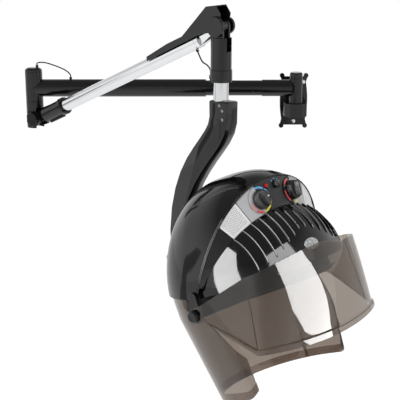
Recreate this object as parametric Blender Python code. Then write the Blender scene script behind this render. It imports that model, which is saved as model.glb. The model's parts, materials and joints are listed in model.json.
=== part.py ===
"""Wall-mounted salon hood dryer on a folding, spring-balanced arm.

Frame: the origin is the middle of the wall plate's back face, +Y runs into the wall, +Z is up
and +X is to the right of someone facing the wall. All sizes are in metres.
"""
from collections import namedtuple
from math import atan2, cos, pi, radians, sin

import bmesh
import bpy
from mathutils import Matrix, Vector
from mathutils.geometry import interpolate_bezier

# Clearances and mesh settings
GAP = 0.0003
BORE_PLAY = 0.0003
MERGE = 0.00001
SHARP_EDGE = radians(38)
FINE = 18
ROUND = 14
COARSE = 10
HEX_POINTS = 12
ARC_STEPS = 10
SMALL_ARC_STEPS = 8
CUTTER_HALF = 0.02

# Wall bracket
PLATE_THICK = 0.007
LOBE_RADIUS = 0.006
LOBE_TOP = (0.029, 0.0615)
LOBE_LOW = (0.029, -0.0620)
LOBE_TURN = 200
LOBE_RETURN = 60
LOBE_STEPS = 8
SIDE_STEPS = 6
PLATE_MIDDLE_HALF = 0.0335
PLATE_END_HALF = 0.0292
PLATE_SIDE_HEIGHT = 0.046
SCREW_TOP = (0.022, 0.047)
SCREW_LOW = (0.0, -0.050)
SCREW_SHANK = 0.003
SCREW_HEAD = 0.0055
SCREW_HEAD_THICK = 0.0035
SCREW_HEAD_EDGE = 0.0012
SCREW_CROWN_SHARE = 0.6
SCREW_SET_BACK = 0.0005
PIVOT_OUT = 0.058
CUP_HALF_WIDTH = 0.027
CUP_FRONT_HALF = 0.014
CUP_FACET_OUT = 0.064
CUP_FRONT_OUT = 0.080
CUP_TOP = 0.004
CUP_LOW = -0.028
CUP_FLOOR = 0.006
PIN_RADIUS = 0.007

# Swing arm, measured from its own axis at the bracket
ARM_HEIGHT = 0.040
ARM_LENGTH = 0.625
HUB_RADIUS = 0.0155
HUB_TOP = 0.024
HUB_CAP_TOP = 0.0375
HUB_CAP_EDGE = 0.0025
SOCKET_RADIUS = 0.020
SOCKET_START = 0.010
SOCKET_END = 0.081
SOCKET_DEPTH = 0.030
INNER_TUBE_RADIUS = 0.0185
OUTER_TUBE_RADIUS = 0.021
TUBE_WALL = 0.002
INNER_TUBE_END = 0.262
OUTER_TUBE_START = 0.215
SLEEVE_RADIUS = 0.0205
SLEEVE_TOP = 0.040
SLEEVE_LOW = -0.029
ELBOW_CAP_TOP = 0.049
CAP_SHOULDER_SHARE = 0.45
CAP_BEND_RISE = 0.6
CAP_BEND_SHARE = 0.82
CAP_CROWN_SHARE = 0.62
SPIGOT_LENGTH = 0.050
ELBOW_PIN_RADIUS = 0.009
ELBOW_PIN_TOP = 0.034

# Elbow knuckle, measured from the swing arm's axis at the elbow
ELBOW_ANGLE = radians(-38)
KNUCKLE_TOP = -0.0315
KNUCKLE_LOW = -0.094
LIFT_OUT = 0.014
LIFT_DROP = 0.071
CHEEK_RADIUS = 0.018
SLOT_HALF = 0.0125
SLOT_BACK = -0.004
SLOT_ROOF = -0.046
BOLT_RADIUS = 0.006
HEX_APOTHEM = 0.0155
HEX_THICK = 0.0065

# Sprung arm, measured along its tube from the lift bolt
SPRING_ARM_LENGTH = 0.5995
SPRING_ARM_SLOPE = radians(24.4)
AXLE_RISE = 0.007
TONGUE_HALF = 0.0120
TONGUE_RADIUS = 0.012
COLLET_START = 0.030
COLLET_RADIUS = 0.019
COLLET_NARROW = 0.018
COLLET_RING = 0.0205
COLLET_RING_START = 0.088
COLLET_END = 0.098
COLLET_FLOOR = 0.045
SPRING_TUBE_RADIUS = 0.015
SPRING_TUBE_WALL = 0.0015
TUBE_STOP = 0.070
COLLET_FLANK = 0.0165
RAIL_START = 0.036
RAIL_END = 0.084
RAIL_HALF = 0.004
RAIL_THICK = 0.004
COIL_WIRE = 0.0013
COIL_TURNS = 7
COIL_STEPS = 7
COIL_SIDES = 4
COIL_START = 0.110
COIL_LENGTH = 0.300
BLOCK_SPIGOT = 0.050
BLOCK_FLANGE = 0.010
LUG_HALF = 0.0075
LUG_RADIUS = 0.012

# Head cover, as distances back from the head axle and up from the tube's axis
COVER_INNER = 0.0157
COVER_WALL = 0.002
COVER_TAIL = (0.203, 0.006)
COVER_TAIL_TOP = (0.200, 0.0150)
COVER_STEP = (0.136, 0.0205)
COVER_KNEE = (0.091, 0.0205)
COVER_PEAK = (0.008, 0.053)
COVER_NOSE = (-0.016, 0.046)
COVER_CHIN = (-0.020, 0.026)
COVER_SKIRT = 0.008
COVER_CHIN_DROP = 0.010
COVER_ROOF = 0.0025

# Head post, measured down from the head axle
POST_RADIUS = 0.0215
POST_TOP = -0.0225
POST_LOW = -0.087
EAR_RADIUS = 0.013
EAR_HALF = 0.013
FORK_HALF = 0.008
FORK_FLOOR = -0.050
SWIVEL_BORE_TOP = -0.065
AXLE_RADIUS = 0.006
NEAR_CAP_RADIUS = 0.0215
FAR_CAP_RADIUS = 0.0175
AXLE_CAP_THICK = 0.006
AXLE_CAP_EDGE = 0.0015
POST_COLLAR_RADIUS = 0.023
POST_COLLAR_LOW = -0.112
SWIVEL_RADIUS = 0.0163
NECK_TOP = -0.150

# Neck, measured from the swivel axis at the neck's top face, x to the hood's front
HOOD_YAW = radians(-5)
NECK_HALF_WIDTH = 0.018
NECK_REAR = -0.0185
NECK_FRONT = 0.032
NECK_SHOULDER = -0.040
NECK_BEND_HIGH = (0.002, -0.105)
NECK_BEND_LOW = (-0.130, -0.150)
HINGE_X = -0.1157
HINGE_Z = -0.3633
NECK_END_RADIUS = 0.016
NECK_TAPER_START = 0.55
NECK_STEPS = 11
NECK_FOOT_STEPS = 8
NECK_BEVEL = 0.004
NECK_BEVEL_STEPS = 2
NECK_BEVEL_ANGLE = radians(50)
SWIVEL_DEPTH = 0.022
HINGE_PIN_RADIUS = 0.006

# Hood, measured from the middle of the visor's pivot axis, x to the front with its rim level
HOOD_TILT = radians(-25)
HINGE_IN_HOOD = Vector((-0.195, 0.0, 0.116))
BRACKET_HALF = 0.0245
BRACKET_REACH = 0.012
BRACKET_FACE = -0.160
BRACKET_INNER = -0.125
BRACKET_LOW = 0.098
BRACKET_TOP = 0.132
BRACKET_CUT_SLICES = (radians(135), radians(172))
BRACKET_CUT_ARCHES = (radians(70), radians(110))
BRACKET_CUT_STEPS = 10
TILT_KNOB_RADIUS = 0.014
TILT_KNOB_THICK = 0.010
TILT_KNOB_EDGE = 0.002

Hull = namedtuple("Hull", "front rear side top front_power rear_power side_power top_power")
DOME = Hull(0.192, 0.172, 0.190, 0.217, 3.3, 2.0, 2.05, 1.8)
BONNET = Hull(0.176, 0.170, 0.182, 0.155, 3.1, 2.0, 2.0, 2.0)
HULL_SEARCH = 0.5
HULL_HALVINGS = 36
SPRING_LINE = 0.030
SLICE_AXIS = Vector((0.014, 0.0, 0.029))
SEAM_SLICE = radians(58.6)
REAR_SLICE = radians(171)
RIB_SLICE = radians(46.5)
FRONT_SLICE = radians(0)
SLICE_GAP = radians(0.3)
SHELL_WALL = 0.003
REAR_STEPS = 11
BONNET_STEPS = 7
ARCH_STEPS = 22
TRIM_START = radians(5)
TRIM_STEPS = 24
TRIM_HALF = 0.0024
TRIM_THICK = 0.0016
TRIM_GROOVE = 0.0010
TRIM_LIFT = 0.0006
TRIM_SHOULDER = 0.6
TRIM_CREST = 0.55

RIB_COUNT = 14
RIB_PITCH = 0.020
RIB_THICK = 0.0020
RIB_RISE = 0.0032
RIB_ROOT = 0.0015
RIB_END_TOP = 0.108
RIB_END_FALL = 3.6
RIB_STEPS = 11

PANEL_EDGE = radians(60.5)
GRILLE_EDGE = radians(44)
CHEEK_EDGE = radians(7)
BAND_WALL = 0.005
BAND_STEPS = 2
BAND_FRAME_STEP = 0.01
PANEL_STEPS = 8
GRILLE_STEPS = 4
CHEEK_STEPS = 8
KNOB_ARCH = radians(75)
KNOB_ROW = 0.52
SELECTOR_ARCH = radians(88.5)
SELECTOR_ROW = 0.26
LAMP_ARCH = radians(96.5)
LAMP_ROW = 0.20
DIAL_RADIUS = 0.0275
DIAL_BACK = -0.0055
DIAL_FACE = 0.0012
KNOB_RADIUS = 0.0205
KNOB_BASE = 0.012
KNOB_TOP = 0.022
KNOB_GRIP_HALF = 0.0045
KNOB_FOOT_SHARE = 0.95
KNOB_FOOT_EDGE = 0.0015
KNOB_RIM_SHARE = 0.96
KNOB_RIM_EDGE = 0.001
KNOB_CROWN_SHARE = 0.90
GRIP_FOOT_SHARE = 0.86
GRIP_FOOT_RISE = 0.0008
GRIP_TOP_SHARE = 0.80
GRIP_TAPER = 0.85
SHAFT_RADIUS = 0.0035
SHAFT_BACK = -0.016
SELECTOR_RADIUS = 0.0085
SELECTOR_BASE = 0.0072
SELECTOR_TOP = 0.0121
SELECTOR_GRIP_HALF = 0.0019
LAMP_RADIUS = 0.0048
LAMP_EDGE = 0.0008
LAMP_SHOULDER = 0.0030
LAMP_SHOULDER_SHARE = 0.7
LAMP_TOP = 0.0038
UNIT_RADIUS = 0.018
UNIT_DEPTH = 0.030

BADGE_SLICE = radians(12.3)
BADGE_HALF_ANGLE = radians(4.2)
BADGE_HALF_ARCH = radians(7.3)
BADGE_THICK = 0.0015

EAR_TAB_INNER = 0.1905
EAR_TAB_THICK = 0.004
EAR_TAB_RADIUS = 0.016
EAR_TAB_TOP = 0.036
EAR_TAB_TOP_SHARE = 0.6
VISOR_PLAN = 0.1962
VISOR_WALL = 0.0025
VISOR_EAR = 0.014
VISOR_EAR_OUTLINE = ((-1.0, 0.1), (-0.72, 0.7), (0.0, 1.0))
VISOR_FLAT = 0.026
VISOR_FLAT_RISE = 1.25
VISOR_BOW = 0.010
VISOR_TOP_CORNER = Vector((0.130, 0.163, 0.046))
VISOR_TOP_REACH = 0.073
VISOR_TOP_CROWN = 0.017
VISOR_LOW_CORNER = Vector((0.120, 0.181, -0.102))
VISOR_LOW_REACH = 0.050
VISOR_LOW_CROWN = -0.017
VISOR_SIDE_STEPS = 2
VISOR_FRONT_STEPS = 16
VISOR_ROW_SHARES = (0.0, 0.3, 0.6, 0.90, 0.94, 1.0)
LIP_START = 0.92
LIP_OUT = 0.0045
BUTTON_RADIUS = 0.0125
BUTTON_THICK = 0.008
BUTTON_SHAFT = 0.005
BUTTON_EDGE = 0.002
BUTTON_CROWN_SHARE = 0.85
BUTTON_DISH_SHARE = 0.60
BUTTON_FLOOR_SHARE = 0.55
BUTTON_DISH = 0.001

SKIRT_REAR = 0.1630
SKIRT_FRONT = 0.063
SKIRT_SIDE = 0.1840
SKIRT_TAPER = 0.150
SKIRT_REAR_TAPER = 0.20
SKIRT_REAR_POWER = 2.05
SKIRT_FRONT_POWER = 4.5
SKIRT_WALL = 0.0025
SKIRT_STEPS = 56
SKIRT_WALL_STEPS = 4
SKIRT_TUCK = 0.010
SKIRT_EDGE_RISE = 0.162
SKIRT_FRONT_TOP = -0.137
SKIRT_FRONT_LOW = -0.150
SKIRT_REAR_LOW = -0.178
SKIRT_LOBE_LOW = -0.189
SKIRT_LOBE_X = 0.026
SKIRT_LOBE_BACK = 0.150
SKIRT_LOBE_POWER = 1.5
SKIRT_LOBE_FRONT_POWER = 3
SKIRT_FRONT_SHARE = 0.97
SKIRT_EAR_LENGTH = 0.030
SKIRT_EAR_DROP = 0.036
SKIRT_CHEEK_RISE = 0.005
SKIRT_CHEEK_DROP = 0.006
SKIRT_CHEEK_POWER = 1.1

LINER_FRONT = 0.155
LINER_REAR = 0.146
LINER_SIDE = 0.168
LINER_POWER = 2.0
LINER_TOP = 0.118
LINER_FLAT = 0.100
LINER_HOLE = 0.042
LINER_WALL = 0.0025
LINER_FLANGE = 0.007
LINER_SEAT_START = -0.100
LINER_SEAT_GAP = 0.0008
LINER_RIM = -0.009
LINER_RIM_SLOPE = 0.112
LINER_CURVE_STEPS = 4
LINER_STEPS = 24
FAN_X = -0.012
HEATER_RING = 0.072
HEATER_WIRE = 0.004
HEATER_SIDES = 6
DECK_RADIUS = 0.092
DECK_WALL = 0.003
DECK_HEIGHT = 0.022
DECK_HOLE = 0.052
FAN_LOW = 0.0215
FAN_HIGH = 0.0150
FAN_BLADES = 10
FAN_RADIUS = 0.056
FAN_HUB = 0.018
FAN_BLADE_HALF = 0.0013
MOTOR_FLANGE = 0.062
MOTOR_RADIUS = 0.034
MOTOR_HEIGHT = 0.052
MOTOR_SHAFT = 0.004

# Short leads: diameter, and routes chosen by hand through the arm's middle plane
LEAD_RADIUS = 0.0015
LEAD_STEP = 0.008
LEAD_SIDE_STEPS = 2
GROMMET_RADIUS = 0.0034
GROMMET_HEIGHT = 0.004
ELBOW_LEAD_ROUTE = ((0.009, 0.0556), (0.009, 0.0590), (0.014, 0.0610), (0.030, 0.060),
                    (0.055, 0.052), (0.075, 0.043), (0.085, 0.035), (0.088, 0.0296), (0.088, 0.0262))
ARM_GROMMET_X = 0.078
HEAD_LEAD_ROUTE = ((-0.048, -0.076), (-0.037, -0.081), (-0.029, -0.088), (-0.0262, -0.0975))
LEAD_CLIP_TOP = -0.1010
LEAD_CLIP_LOW = -0.1090
LEAD_CLIP_OUT = 0.0290
LEAD_CLIP_HALF = 0.0030


def make_material(name, colour, metallic=0.0, roughness=0.4, alpha=1.0):
    """Give a sub-part its own Principled material."""
    material = bpy.data.materials.new(name)
    material.use_nodes = True
    shader = material.node_tree.nodes["Principled BSDF"]
    shader.inputs["Base Color"].default_value = (*colour, 1.0)
    shader.inputs["Metallic"].default_value = metallic
    shader.inputs["Roughness"].default_value = roughness
    shader.inputs["Alpha"].default_value = alpha
    return material


def black_plastic(name):
    return make_material(name, (0.012, 0.012, 0.014), 0.0, 0.22)


def black_paint(name):
    return make_material(name, (0.015, 0.015, 0.016), 0.0, 0.35)


def chrome(name):
    return make_material(name, (0.75, 0.76, 0.78), 1.0, 0.08)


def steel(name):
    return make_material(name, (0.45, 0.45, 0.47), 1.0, 0.3)


def smoke(name):
    return make_material(name, (0.30, 0.26, 0.24), 0.0, 0.05, 0.4)


def rubber(name):
    return make_material(name, (0.02, 0.02, 0.02), 0.0, 0.6)


def silver(name):
    return make_material(name, (0.62, 0.63, 0.64), 0.4, 0.35)


def frame_empty(name, location, rotation=(0, 0, 0), parent=None):
    """Place an empty that carries one moving body."""
    empty = bpy.data.objects.new(name, None)
    empty.location = location
    empty.rotation_euler = rotation
    empty.parent = parent
    bpy.context.collection.objects.link(empty)
    return empty


def finish(name, bm, parent, material=None):
    """Turn a bmesh into a named object; without a material it is a hidden cutter."""
    bmesh.ops.remove_doubles(bm, verts=bm.verts, dist=MERGE)
    bmesh.ops.dissolve_degenerate(bm, edges=bm.edges, dist=MERGE)
    bmesh.ops.recalc_face_normals(bm, faces=bm.faces)
    mesh = bpy.data.meshes.new(name)
    bm.to_mesh(mesh)
    bm.free()
    mesh.shade_smooth()
    mesh.set_sharp_from_angle(angle=SHARP_EDGE)
    obj = bpy.data.objects.new(name, mesh)
    obj.parent = parent
    bpy.context.collection.objects.link(obj)
    if material is None:
        obj.hide_render = True
        obj.display_type = "WIRE"
    else:
        mesh.materials.append(material)
    return obj


def combine(target, tool, operation):
    """Join a hidden stock to a piece, or cut the piece with it."""
    boolean = target.modifiers.new(tool.name, "BOOLEAN")
    boolean.operation = operation
    boolean.solver = "EXACT"
    boolean.object = tool


def merge_into(bm, *others):
    """Gather several bmeshes into one."""
    for other in others:
        mesh = bpy.data.meshes.new("gather")
        other.to_mesh(mesh)
        other.free()
        bm.from_mesh(mesh)
        bpy.data.meshes.remove(mesh)
    return bm


def to_x():
    """Turn a shape made along +Z so that it runs along +X."""
    return Matrix.Rotation(pi / 2, 4, "Y")


def to_y():
    """Turn a shape made along +Z so that it runs along -Y, its own Y becoming +Z."""
    return Matrix.Rotation(pi / 2, 4, "X")


def turned(profile, place=Matrix(), segments=ROUND):
    """Spin a (radius, height) profile about Z; a profile that ends on the axis stays open there."""
    bm = bmesh.new()
    verts = [bm.verts.new((radius, 0, height)) for radius, height in profile]
    solid = profile[0][0] == 0
    edges = [bm.edges.new(pair) for pair in zip(verts, verts[1:])]
    if not solid:
        edges.append(bm.edges.new((verts[-1], verts[0])))
    bmesh.ops.spin(bm, geom=verts + edges, cent=(0, 0, 0), axis=(0, 0, 1),
                   angle=2 * pi, steps=segments, use_merge=True)
    bmesh.ops.remove_doubles(bm, verts=bm.verts, dist=MERGE)
    bmesh.ops.transform(bm, matrix=place, verts=bm.verts)
    return bm


def rod(radius, low, high, place=Matrix(), segments=ROUND):
    """Solid round bar from one height to another."""
    return turned([(0, low), (radius, low), (radius, high), (0, high)], place, segments)


def tube(outer, inner, low, high, place=Matrix(), segments=ROUND):
    """Hollow round bar from one height to another."""
    return turned([(outer, low), (outer, high), (inner, high), (inner, low)], place, segments)


def box(low, high):
    """Plain block between two corners."""
    bm = bmesh.new()
    low = Vector(low)
    high = Vector(high)
    size = high - low
    place = Matrix.Translation((low + high) / 2) @ Matrix.Diagonal((*size, 1))
    bmesh.ops.create_cube(bm, size=1.0, matrix=place)
    return bm


def prism(outline, depth, place=Matrix()):
    """Extrude a flat outline along its normal."""
    bm = bmesh.new()
    face = bm.faces.new([bm.verts.new((x, y, 0)) for x, y in outline])
    grown = bmesh.ops.extrude_face_region(bm, geom=[face])
    moved = [item for item in grown["geom"] if isinstance(item, bmesh.types.BMVert)]
    bmesh.ops.translate(bm, verts=moved, vec=(0, 0, depth))
    bmesh.ops.transform(bm, matrix=place, verts=bm.verts)
    return bm


def arc(centre, radius, start, end, steps):
    """Points of a round stretch of an outline; angles in degrees."""
    points = []
    for step in range(steps + 1):
        angle = radians(start + (end - start) * step / steps)
        points.append((centre[0] + radius * cos(angle), centre[1] + radius * sin(angle)))
    return points


def loft(rings, wrap=False, caps=True):
    """Skin closed rings in order; wrap joins the last to the first, caps close the two ends."""
    bm = bmesh.new()
    rows = [[bm.verts.new(point) for point in ring] for ring in rings]
    following = rows[1:] + rows[:1] if wrap else rows[1:]
    for row, after in zip(rows, following):
        for i in range(len(row)):
            bm.faces.new((row[i - 1], row[i], after[i], after[i - 1]))
    if caps and not wrap:
        bm.faces.new(rows[0])
        bm.faces.new(rows[-1])
    return bm


def ring(half_x, half_y, height, count=FINE):
    """Points of an elliptic ring about Z."""
    turns = [2 * pi * i / count for i in range(count)]
    return [Vector((half_x * cos(t), half_y * sin(t), height)) for t in turns]


def hex_ring(apothem, height):
    """Points of a hexagon: its corners and the middles of its sides."""
    points = []
    for i in range(HEX_POINTS):
        turn = 2 * pi * i / HEX_POINTS
        radius = apothem / cos((turn + pi / 6) % (pi / 3) - pi / 6)
        points.append(Vector((radius * cos(turn), radius * sin(turn), height)))
    return points


def placed(bm, place):
    bmesh.ops.transform(bm, matrix=place, verts=bm.verts)
    return bm


def hull_fill(hull, point):
    """Below one inside the hull, one on its surface; walls stand straight below the spring line."""
    along = point.x / hull.front if point.x > 0 else -point.x / hull.rear
    along_power = hull.front_power if point.x > 0 else hull.rear_power
    across = abs(point.y) / hull.side
    rise = max(point.z - SPRING_LINE, 0) / hull.top
    return along ** along_power + across ** hull.side_power + rise ** hull.top_power


def hull_reach(hull, origin, direction):
    """Point where a ray from inside the hull meets its surface, by halving."""
    near = 0.0
    far = HULL_SEARCH
    for _ in range(HULL_HALVINGS):
        middle = (near + far) / 2
        inside = hull_fill(hull, origin + direction * middle) < 1
        near, far = (middle, far) if inside else (near, middle)
    return origin + direction * near


def resized(hull, growth):
    """The same hull with every half-size grown by one amount."""
    return hull._replace(front=hull.front + growth, rear=hull.rear + growth,
                         side=hull.side + growth, top=hull.top + growth)


def slice_point(hull, slice_angle, arch_angle):
    """Point on a hull: the slice tips about the ear-to-ear axis, the arch runs left ear to right ear."""
    lift = sin(arch_angle)
    direction = Vector((lift * cos(slice_angle), cos(arch_angle), lift * sin(slice_angle)))
    return hull_reach(hull, SLICE_AXIS, direction)


def spread(start, end, steps):
    return [start + (end - start) * i / steps for i in range(steps + 1)]


def hull_shell(outer, inner, slices, arches, caps):
    """Closed shell between two hulls over a range of slices and arches."""
    rings = []
    for arch in arches:
        skin = [slice_point(outer, angle, arch) for angle in slices]
        lining = [slice_point(inner, angle, arch) for angle in reversed(slices)]
        rings.append(skin + lining)
    return loft(rings, caps=caps)


def band_point(arch, row, depth=0.0):
    """Point on the sloping face between the rear shell's seam and the top of the ribs."""
    high = slice_point(DOME, SEAM_SLICE - SLICE_GAP, arch)
    low = slice_point(BONNET, RIB_SLICE + SLICE_GAP, arch)
    point = high.lerp(low, row)
    inward = (SLICE_AXIS - point).normalized()
    return point + inward * depth


def band_frame(arch, row):
    """Placement on the sloping face: Z out of it, X towards the ribs."""
    step = BAND_FRAME_STEP
    origin = band_point(arch, row)
    down = (band_point(arch, row + step) - band_point(arch, row - step)).normalized()
    around = (band_point(arch + step, row) - band_point(arch - step, row)).normalized()
    out = down.cross(around).normalized()
    if out.dot(origin - SLICE_AXIS) < 0:
        out.negate()
    side = out.cross(down)
    turn = Matrix((down, side, out)).transposed().to_4x4()
    return Matrix.Translation(origin) @ turn


def smooth_route(points, step):
    """Points at even steps along a smooth curve through the route's own points."""
    knots = [Vector(point) for point in points]
    padded = [2 * knots[0] - knots[1]] + knots + [2 * knots[-1] - knots[-2]]
    route = []
    for before, start, end, after in zip(padded, padded[1:], padded[2:], padded[3:]):
        count = max(1, round((end - start).length / step))
        pull = (end - before) / 6
        push = (end - (after - start) / 6)
        route += interpolate_bezier(start, start + pull, push, end, count + 1)[:-1]
    return route + [knots[-1]]


def lead(name, points, parent):
    """Round cable along a smooth route."""
    curve = bpy.data.curves.new(name, "CURVE")
    curve.dimensions = "3D"
    curve.bevel_depth = LEAD_RADIUS
    curve.bevel_resolution = LEAD_SIDE_STEPS
    curve.use_fill_caps = True
    route = smooth_route(points, LEAD_STEP)
    spline = curve.splines.new("POLY")
    spline.points.add(len(route) - 1)
    for knot, point in zip(spline.points, route):
        knot.co = (*point, 1.0)
    curve.materials.append(rubber(name))
    obj = bpy.data.objects.new(name, curve)
    obj.parent = parent
    bpy.context.collection.objects.link(obj)


def plate_outline():
    """Barrel-sided plate with a round lobe at each corner."""
    right = arc(LOBE_TOP, LOBE_RADIUS, LOBE_TURN, -LOBE_RETURN, LOBE_STEPS)
    for height in spread(PLATE_SIDE_HEIGHT, -PLATE_SIDE_HEIGHT, SIDE_STEPS):
        bow = (height / PLATE_SIDE_HEIGHT) ** 2
        right.append((PLATE_MIDDLE_HALF - bow * (PLATE_MIDDLE_HALF - PLATE_END_HALF), height))
    right += arc(LOBE_LOW, LOBE_RADIUS, LOBE_RETURN, -LOBE_TURN, LOBE_STEPS)
    left = [(-x, z) for x, z in reversed(right)]
    return right + left


def screw_spots():
    return [(-SCREW_TOP[0], SCREW_TOP[1]), SCREW_TOP, SCREW_LOW]


def build_wall_bracket():
    """Wall plate with its bearing cup, the hinge pin and the wall screws."""
    blank = prism(plate_outline(), PLATE_THICK, to_y())
    plate = finish("wall_plate", blank, None, black_paint("wall_plate"))
    root = PLATE_THICK / 2
    half = [(CUP_HALF_WIDTH, -root), (CUP_HALF_WIDTH, -CUP_FACET_OUT)]
    half.append((CUP_FRONT_HALF, -CUP_FRONT_OUT))
    outline = half + [(-x, y) for x, y in reversed(half)]
    cup = prism(outline, CUP_TOP - CUP_LOW, Matrix.Translation((0, 0, CUP_LOW)))
    combine(plate, finish("cup_stock", cup, None), "UNION")
    pin_place = Matrix.Translation((0, -PIVOT_OUT, 0))
    cuts = rod(PIN_RADIUS + BORE_PLAY, CUP_LOW + CUP_FLOOR - GAP, CUP_TOP + CUP_FLOOR, pin_place)
    for x, z in screw_spots():
        spot = Matrix.Translation((x, PLATE_THICK, z)) @ to_y()
        merge_into(cuts, rod(SCREW_SHANK + BORE_PLAY, 0, 3 * PLATE_THICK, spot, COARSE))
    combine(plate, finish("plate_cutter", cuts, None), "DIFFERENCE")
    build_hinge_pin(pin_place)
    for index, (x, z) in enumerate(screw_spots()):
        build_wall_screw(f"wall_screw_{index + 1}", x, z)


def build_hinge_pin(pin_place):
    """Pin that stands in the cup, with the broad cap that covers the hub."""
    low = CUP_LOW + CUP_FLOOR
    neck = ARM_HEIGHT + HUB_TOP + GAP
    top = ARM_HEIGHT + HUB_CAP_TOP
    profile = [(0, low), (PIN_RADIUS, low), (PIN_RADIUS, neck), (HUB_RADIUS, neck),
               (HUB_RADIUS, top - HUB_CAP_EDGE), (HUB_RADIUS - HUB_CAP_EDGE, top), (0, top)]
    finish("hinge_pin", turned(profile, pin_place, FINE), None, black_plastic("hinge_pin"))


def build_wall_screw(name, x, z):
    """Pan-head screw; its shank ends just short of the wall face."""
    head = PLATE_THICK + GAP
    dome = head + SCREW_HEAD_THICK
    tip = SCREW_SET_BACK
    profile = [(0, tip), (SCREW_SHANK, tip), (SCREW_SHANK, head), (SCREW_HEAD, head),
               (SCREW_HEAD, dome - SCREW_HEAD_EDGE), (SCREW_CROWN_SHARE * SCREW_HEAD, dome), (0, dome)]
    place = Matrix.Translation((x, 0, z)) @ to_y()
    finish(name, turned(profile, place, COARSE), None, steel(name))


def build_swing_arm(swing):
    """Hub, telescoped tubes and the elbow's sleeve with its cap."""
    hub_low = CUP_TOP + GAP - ARM_HEIGHT
    barrel = rod(HUB_RADIUS, hub_low, HUB_TOP, segments=FINE)
    hub = finish("arm_hub", barrel, swing, black_paint("arm_hub"))
    along = to_x()
    stock = rod(SOCKET_RADIUS, -SOCKET_END, -SOCKET_START, along, FINE)
    combine(hub, finish("hub_stock", stock, swing), "UNION")
    cuts = rod(PIN_RADIUS + BORE_PLAY, hub_low - PIN_RADIUS, HUB_TOP + PIN_RADIUS)
    floor = SOCKET_DEPTH - SOCKET_END
    socket = rod(INNER_TUBE_RADIUS + BORE_PLAY, -SOCKET_END - PIN_RADIUS, floor, along, FINE)
    combine(hub, finish("hub_cutter", merge_into(cuts, socket), swing), "DIFFERENCE")
    inner = tube(INNER_TUBE_RADIUS, INNER_TUBE_RADIUS - TUBE_WALL, -INNER_TUBE_END, floor - GAP, along, FINE)
    finish("inner_tube", inner, swing, black_paint("inner_tube"))
    bore = INNER_TUBE_RADIUS + BORE_PLAY
    outer = tube(OUTER_TUBE_RADIUS, bore, -ARM_LENGTH, -OUTER_TUBE_START, along, FINE)
    outer_tube = finish("outer_tube", outer, swing, black_paint("outer_tube"))
    elbow_place = Matrix.Translation((-ARM_LENGTH, 0, 0))
    mouth = rod(SLEEVE_RADIUS + GAP, -2 * OUTER_TUBE_RADIUS, 2 * OUTER_TUBE_RADIUS, elbow_place, FINE)
    combine(outer_tube, finish("tube_cutter", mouth, swing), "DIFFERENCE")
    build_elbow_sleeve(swing, elbow_place)


def build_elbow_sleeve(swing, elbow_place):
    """Upright sleeve with a spigot inside the outer tube, its cap and the lead over the top."""
    body = rod(SLEEVE_RADIUS, SLEEVE_LOW, SLEEVE_TOP, elbow_place, FINE)
    sleeve = finish("elbow_sleeve", body, swing, black_paint("elbow_sleeve"))
    spigot = rod(INNER_TUBE_RADIUS, 0, SPIGOT_LENGTH, elbow_place @ to_x(), FINE)
    combine(sleeve, finish("sleeve_stock", spigot, swing), "UNION")
    depth = ELBOW_PIN_TOP + GAP
    bore = rod(ELBOW_PIN_RADIUS + BORE_PLAY, SLEEVE_LOW - SLEEVE_RADIUS, depth, elbow_place)
    combine(sleeve, finish("sleeve_cutter", bore, swing), "DIFFERENCE")
    low = SLEEVE_TOP + GAP
    shoulder = low + CAP_SHOULDER_SHARE * (ELBOW_CAP_TOP - low)
    bend = shoulder + CAP_BEND_RISE * (ELBOW_CAP_TOP - shoulder)
    rim = SLEEVE_RADIUS
    profile = [(0, low), (rim, low), (rim, shoulder), (CAP_BEND_SHARE * rim, bend),
               (CAP_CROWN_SHARE * rim, ELBOW_CAP_TOP), (0, ELBOW_CAP_TOP)]
    cap = finish("elbow_cap", turned(profile, elbow_place, FINE), swing, black_plastic("elbow_cap"))
    exit_x, exit_z = ELBOW_LEAD_ROUTE[0]
    nozzle_place = elbow_place @ Matrix.Translation((exit_x, 0, 0))
    nozzle = rod(GROMMET_RADIUS, shoulder, exit_z - GAP, nozzle_place, COARSE)
    combine(cap, finish("nozzle_stock", nozzle, swing), "UNION")
    entry_x, entry_z = ELBOW_LEAD_ROUTE[-1]
    entry = elbow_place @ Matrix.Translation((entry_x, 0, 0))
    grommet = rod(GROMMET_RADIUS, OUTER_TUBE_RADIUS + GAP, entry_z - GAP, entry, COARSE)
    finish("tube_grommet", grommet, swing, rubber("tube_grommet"))
    lead("elbow_lead", [(x - ARM_LENGTH, 0, z) for x, z in ELBOW_LEAD_ROUTE], swing)


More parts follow.
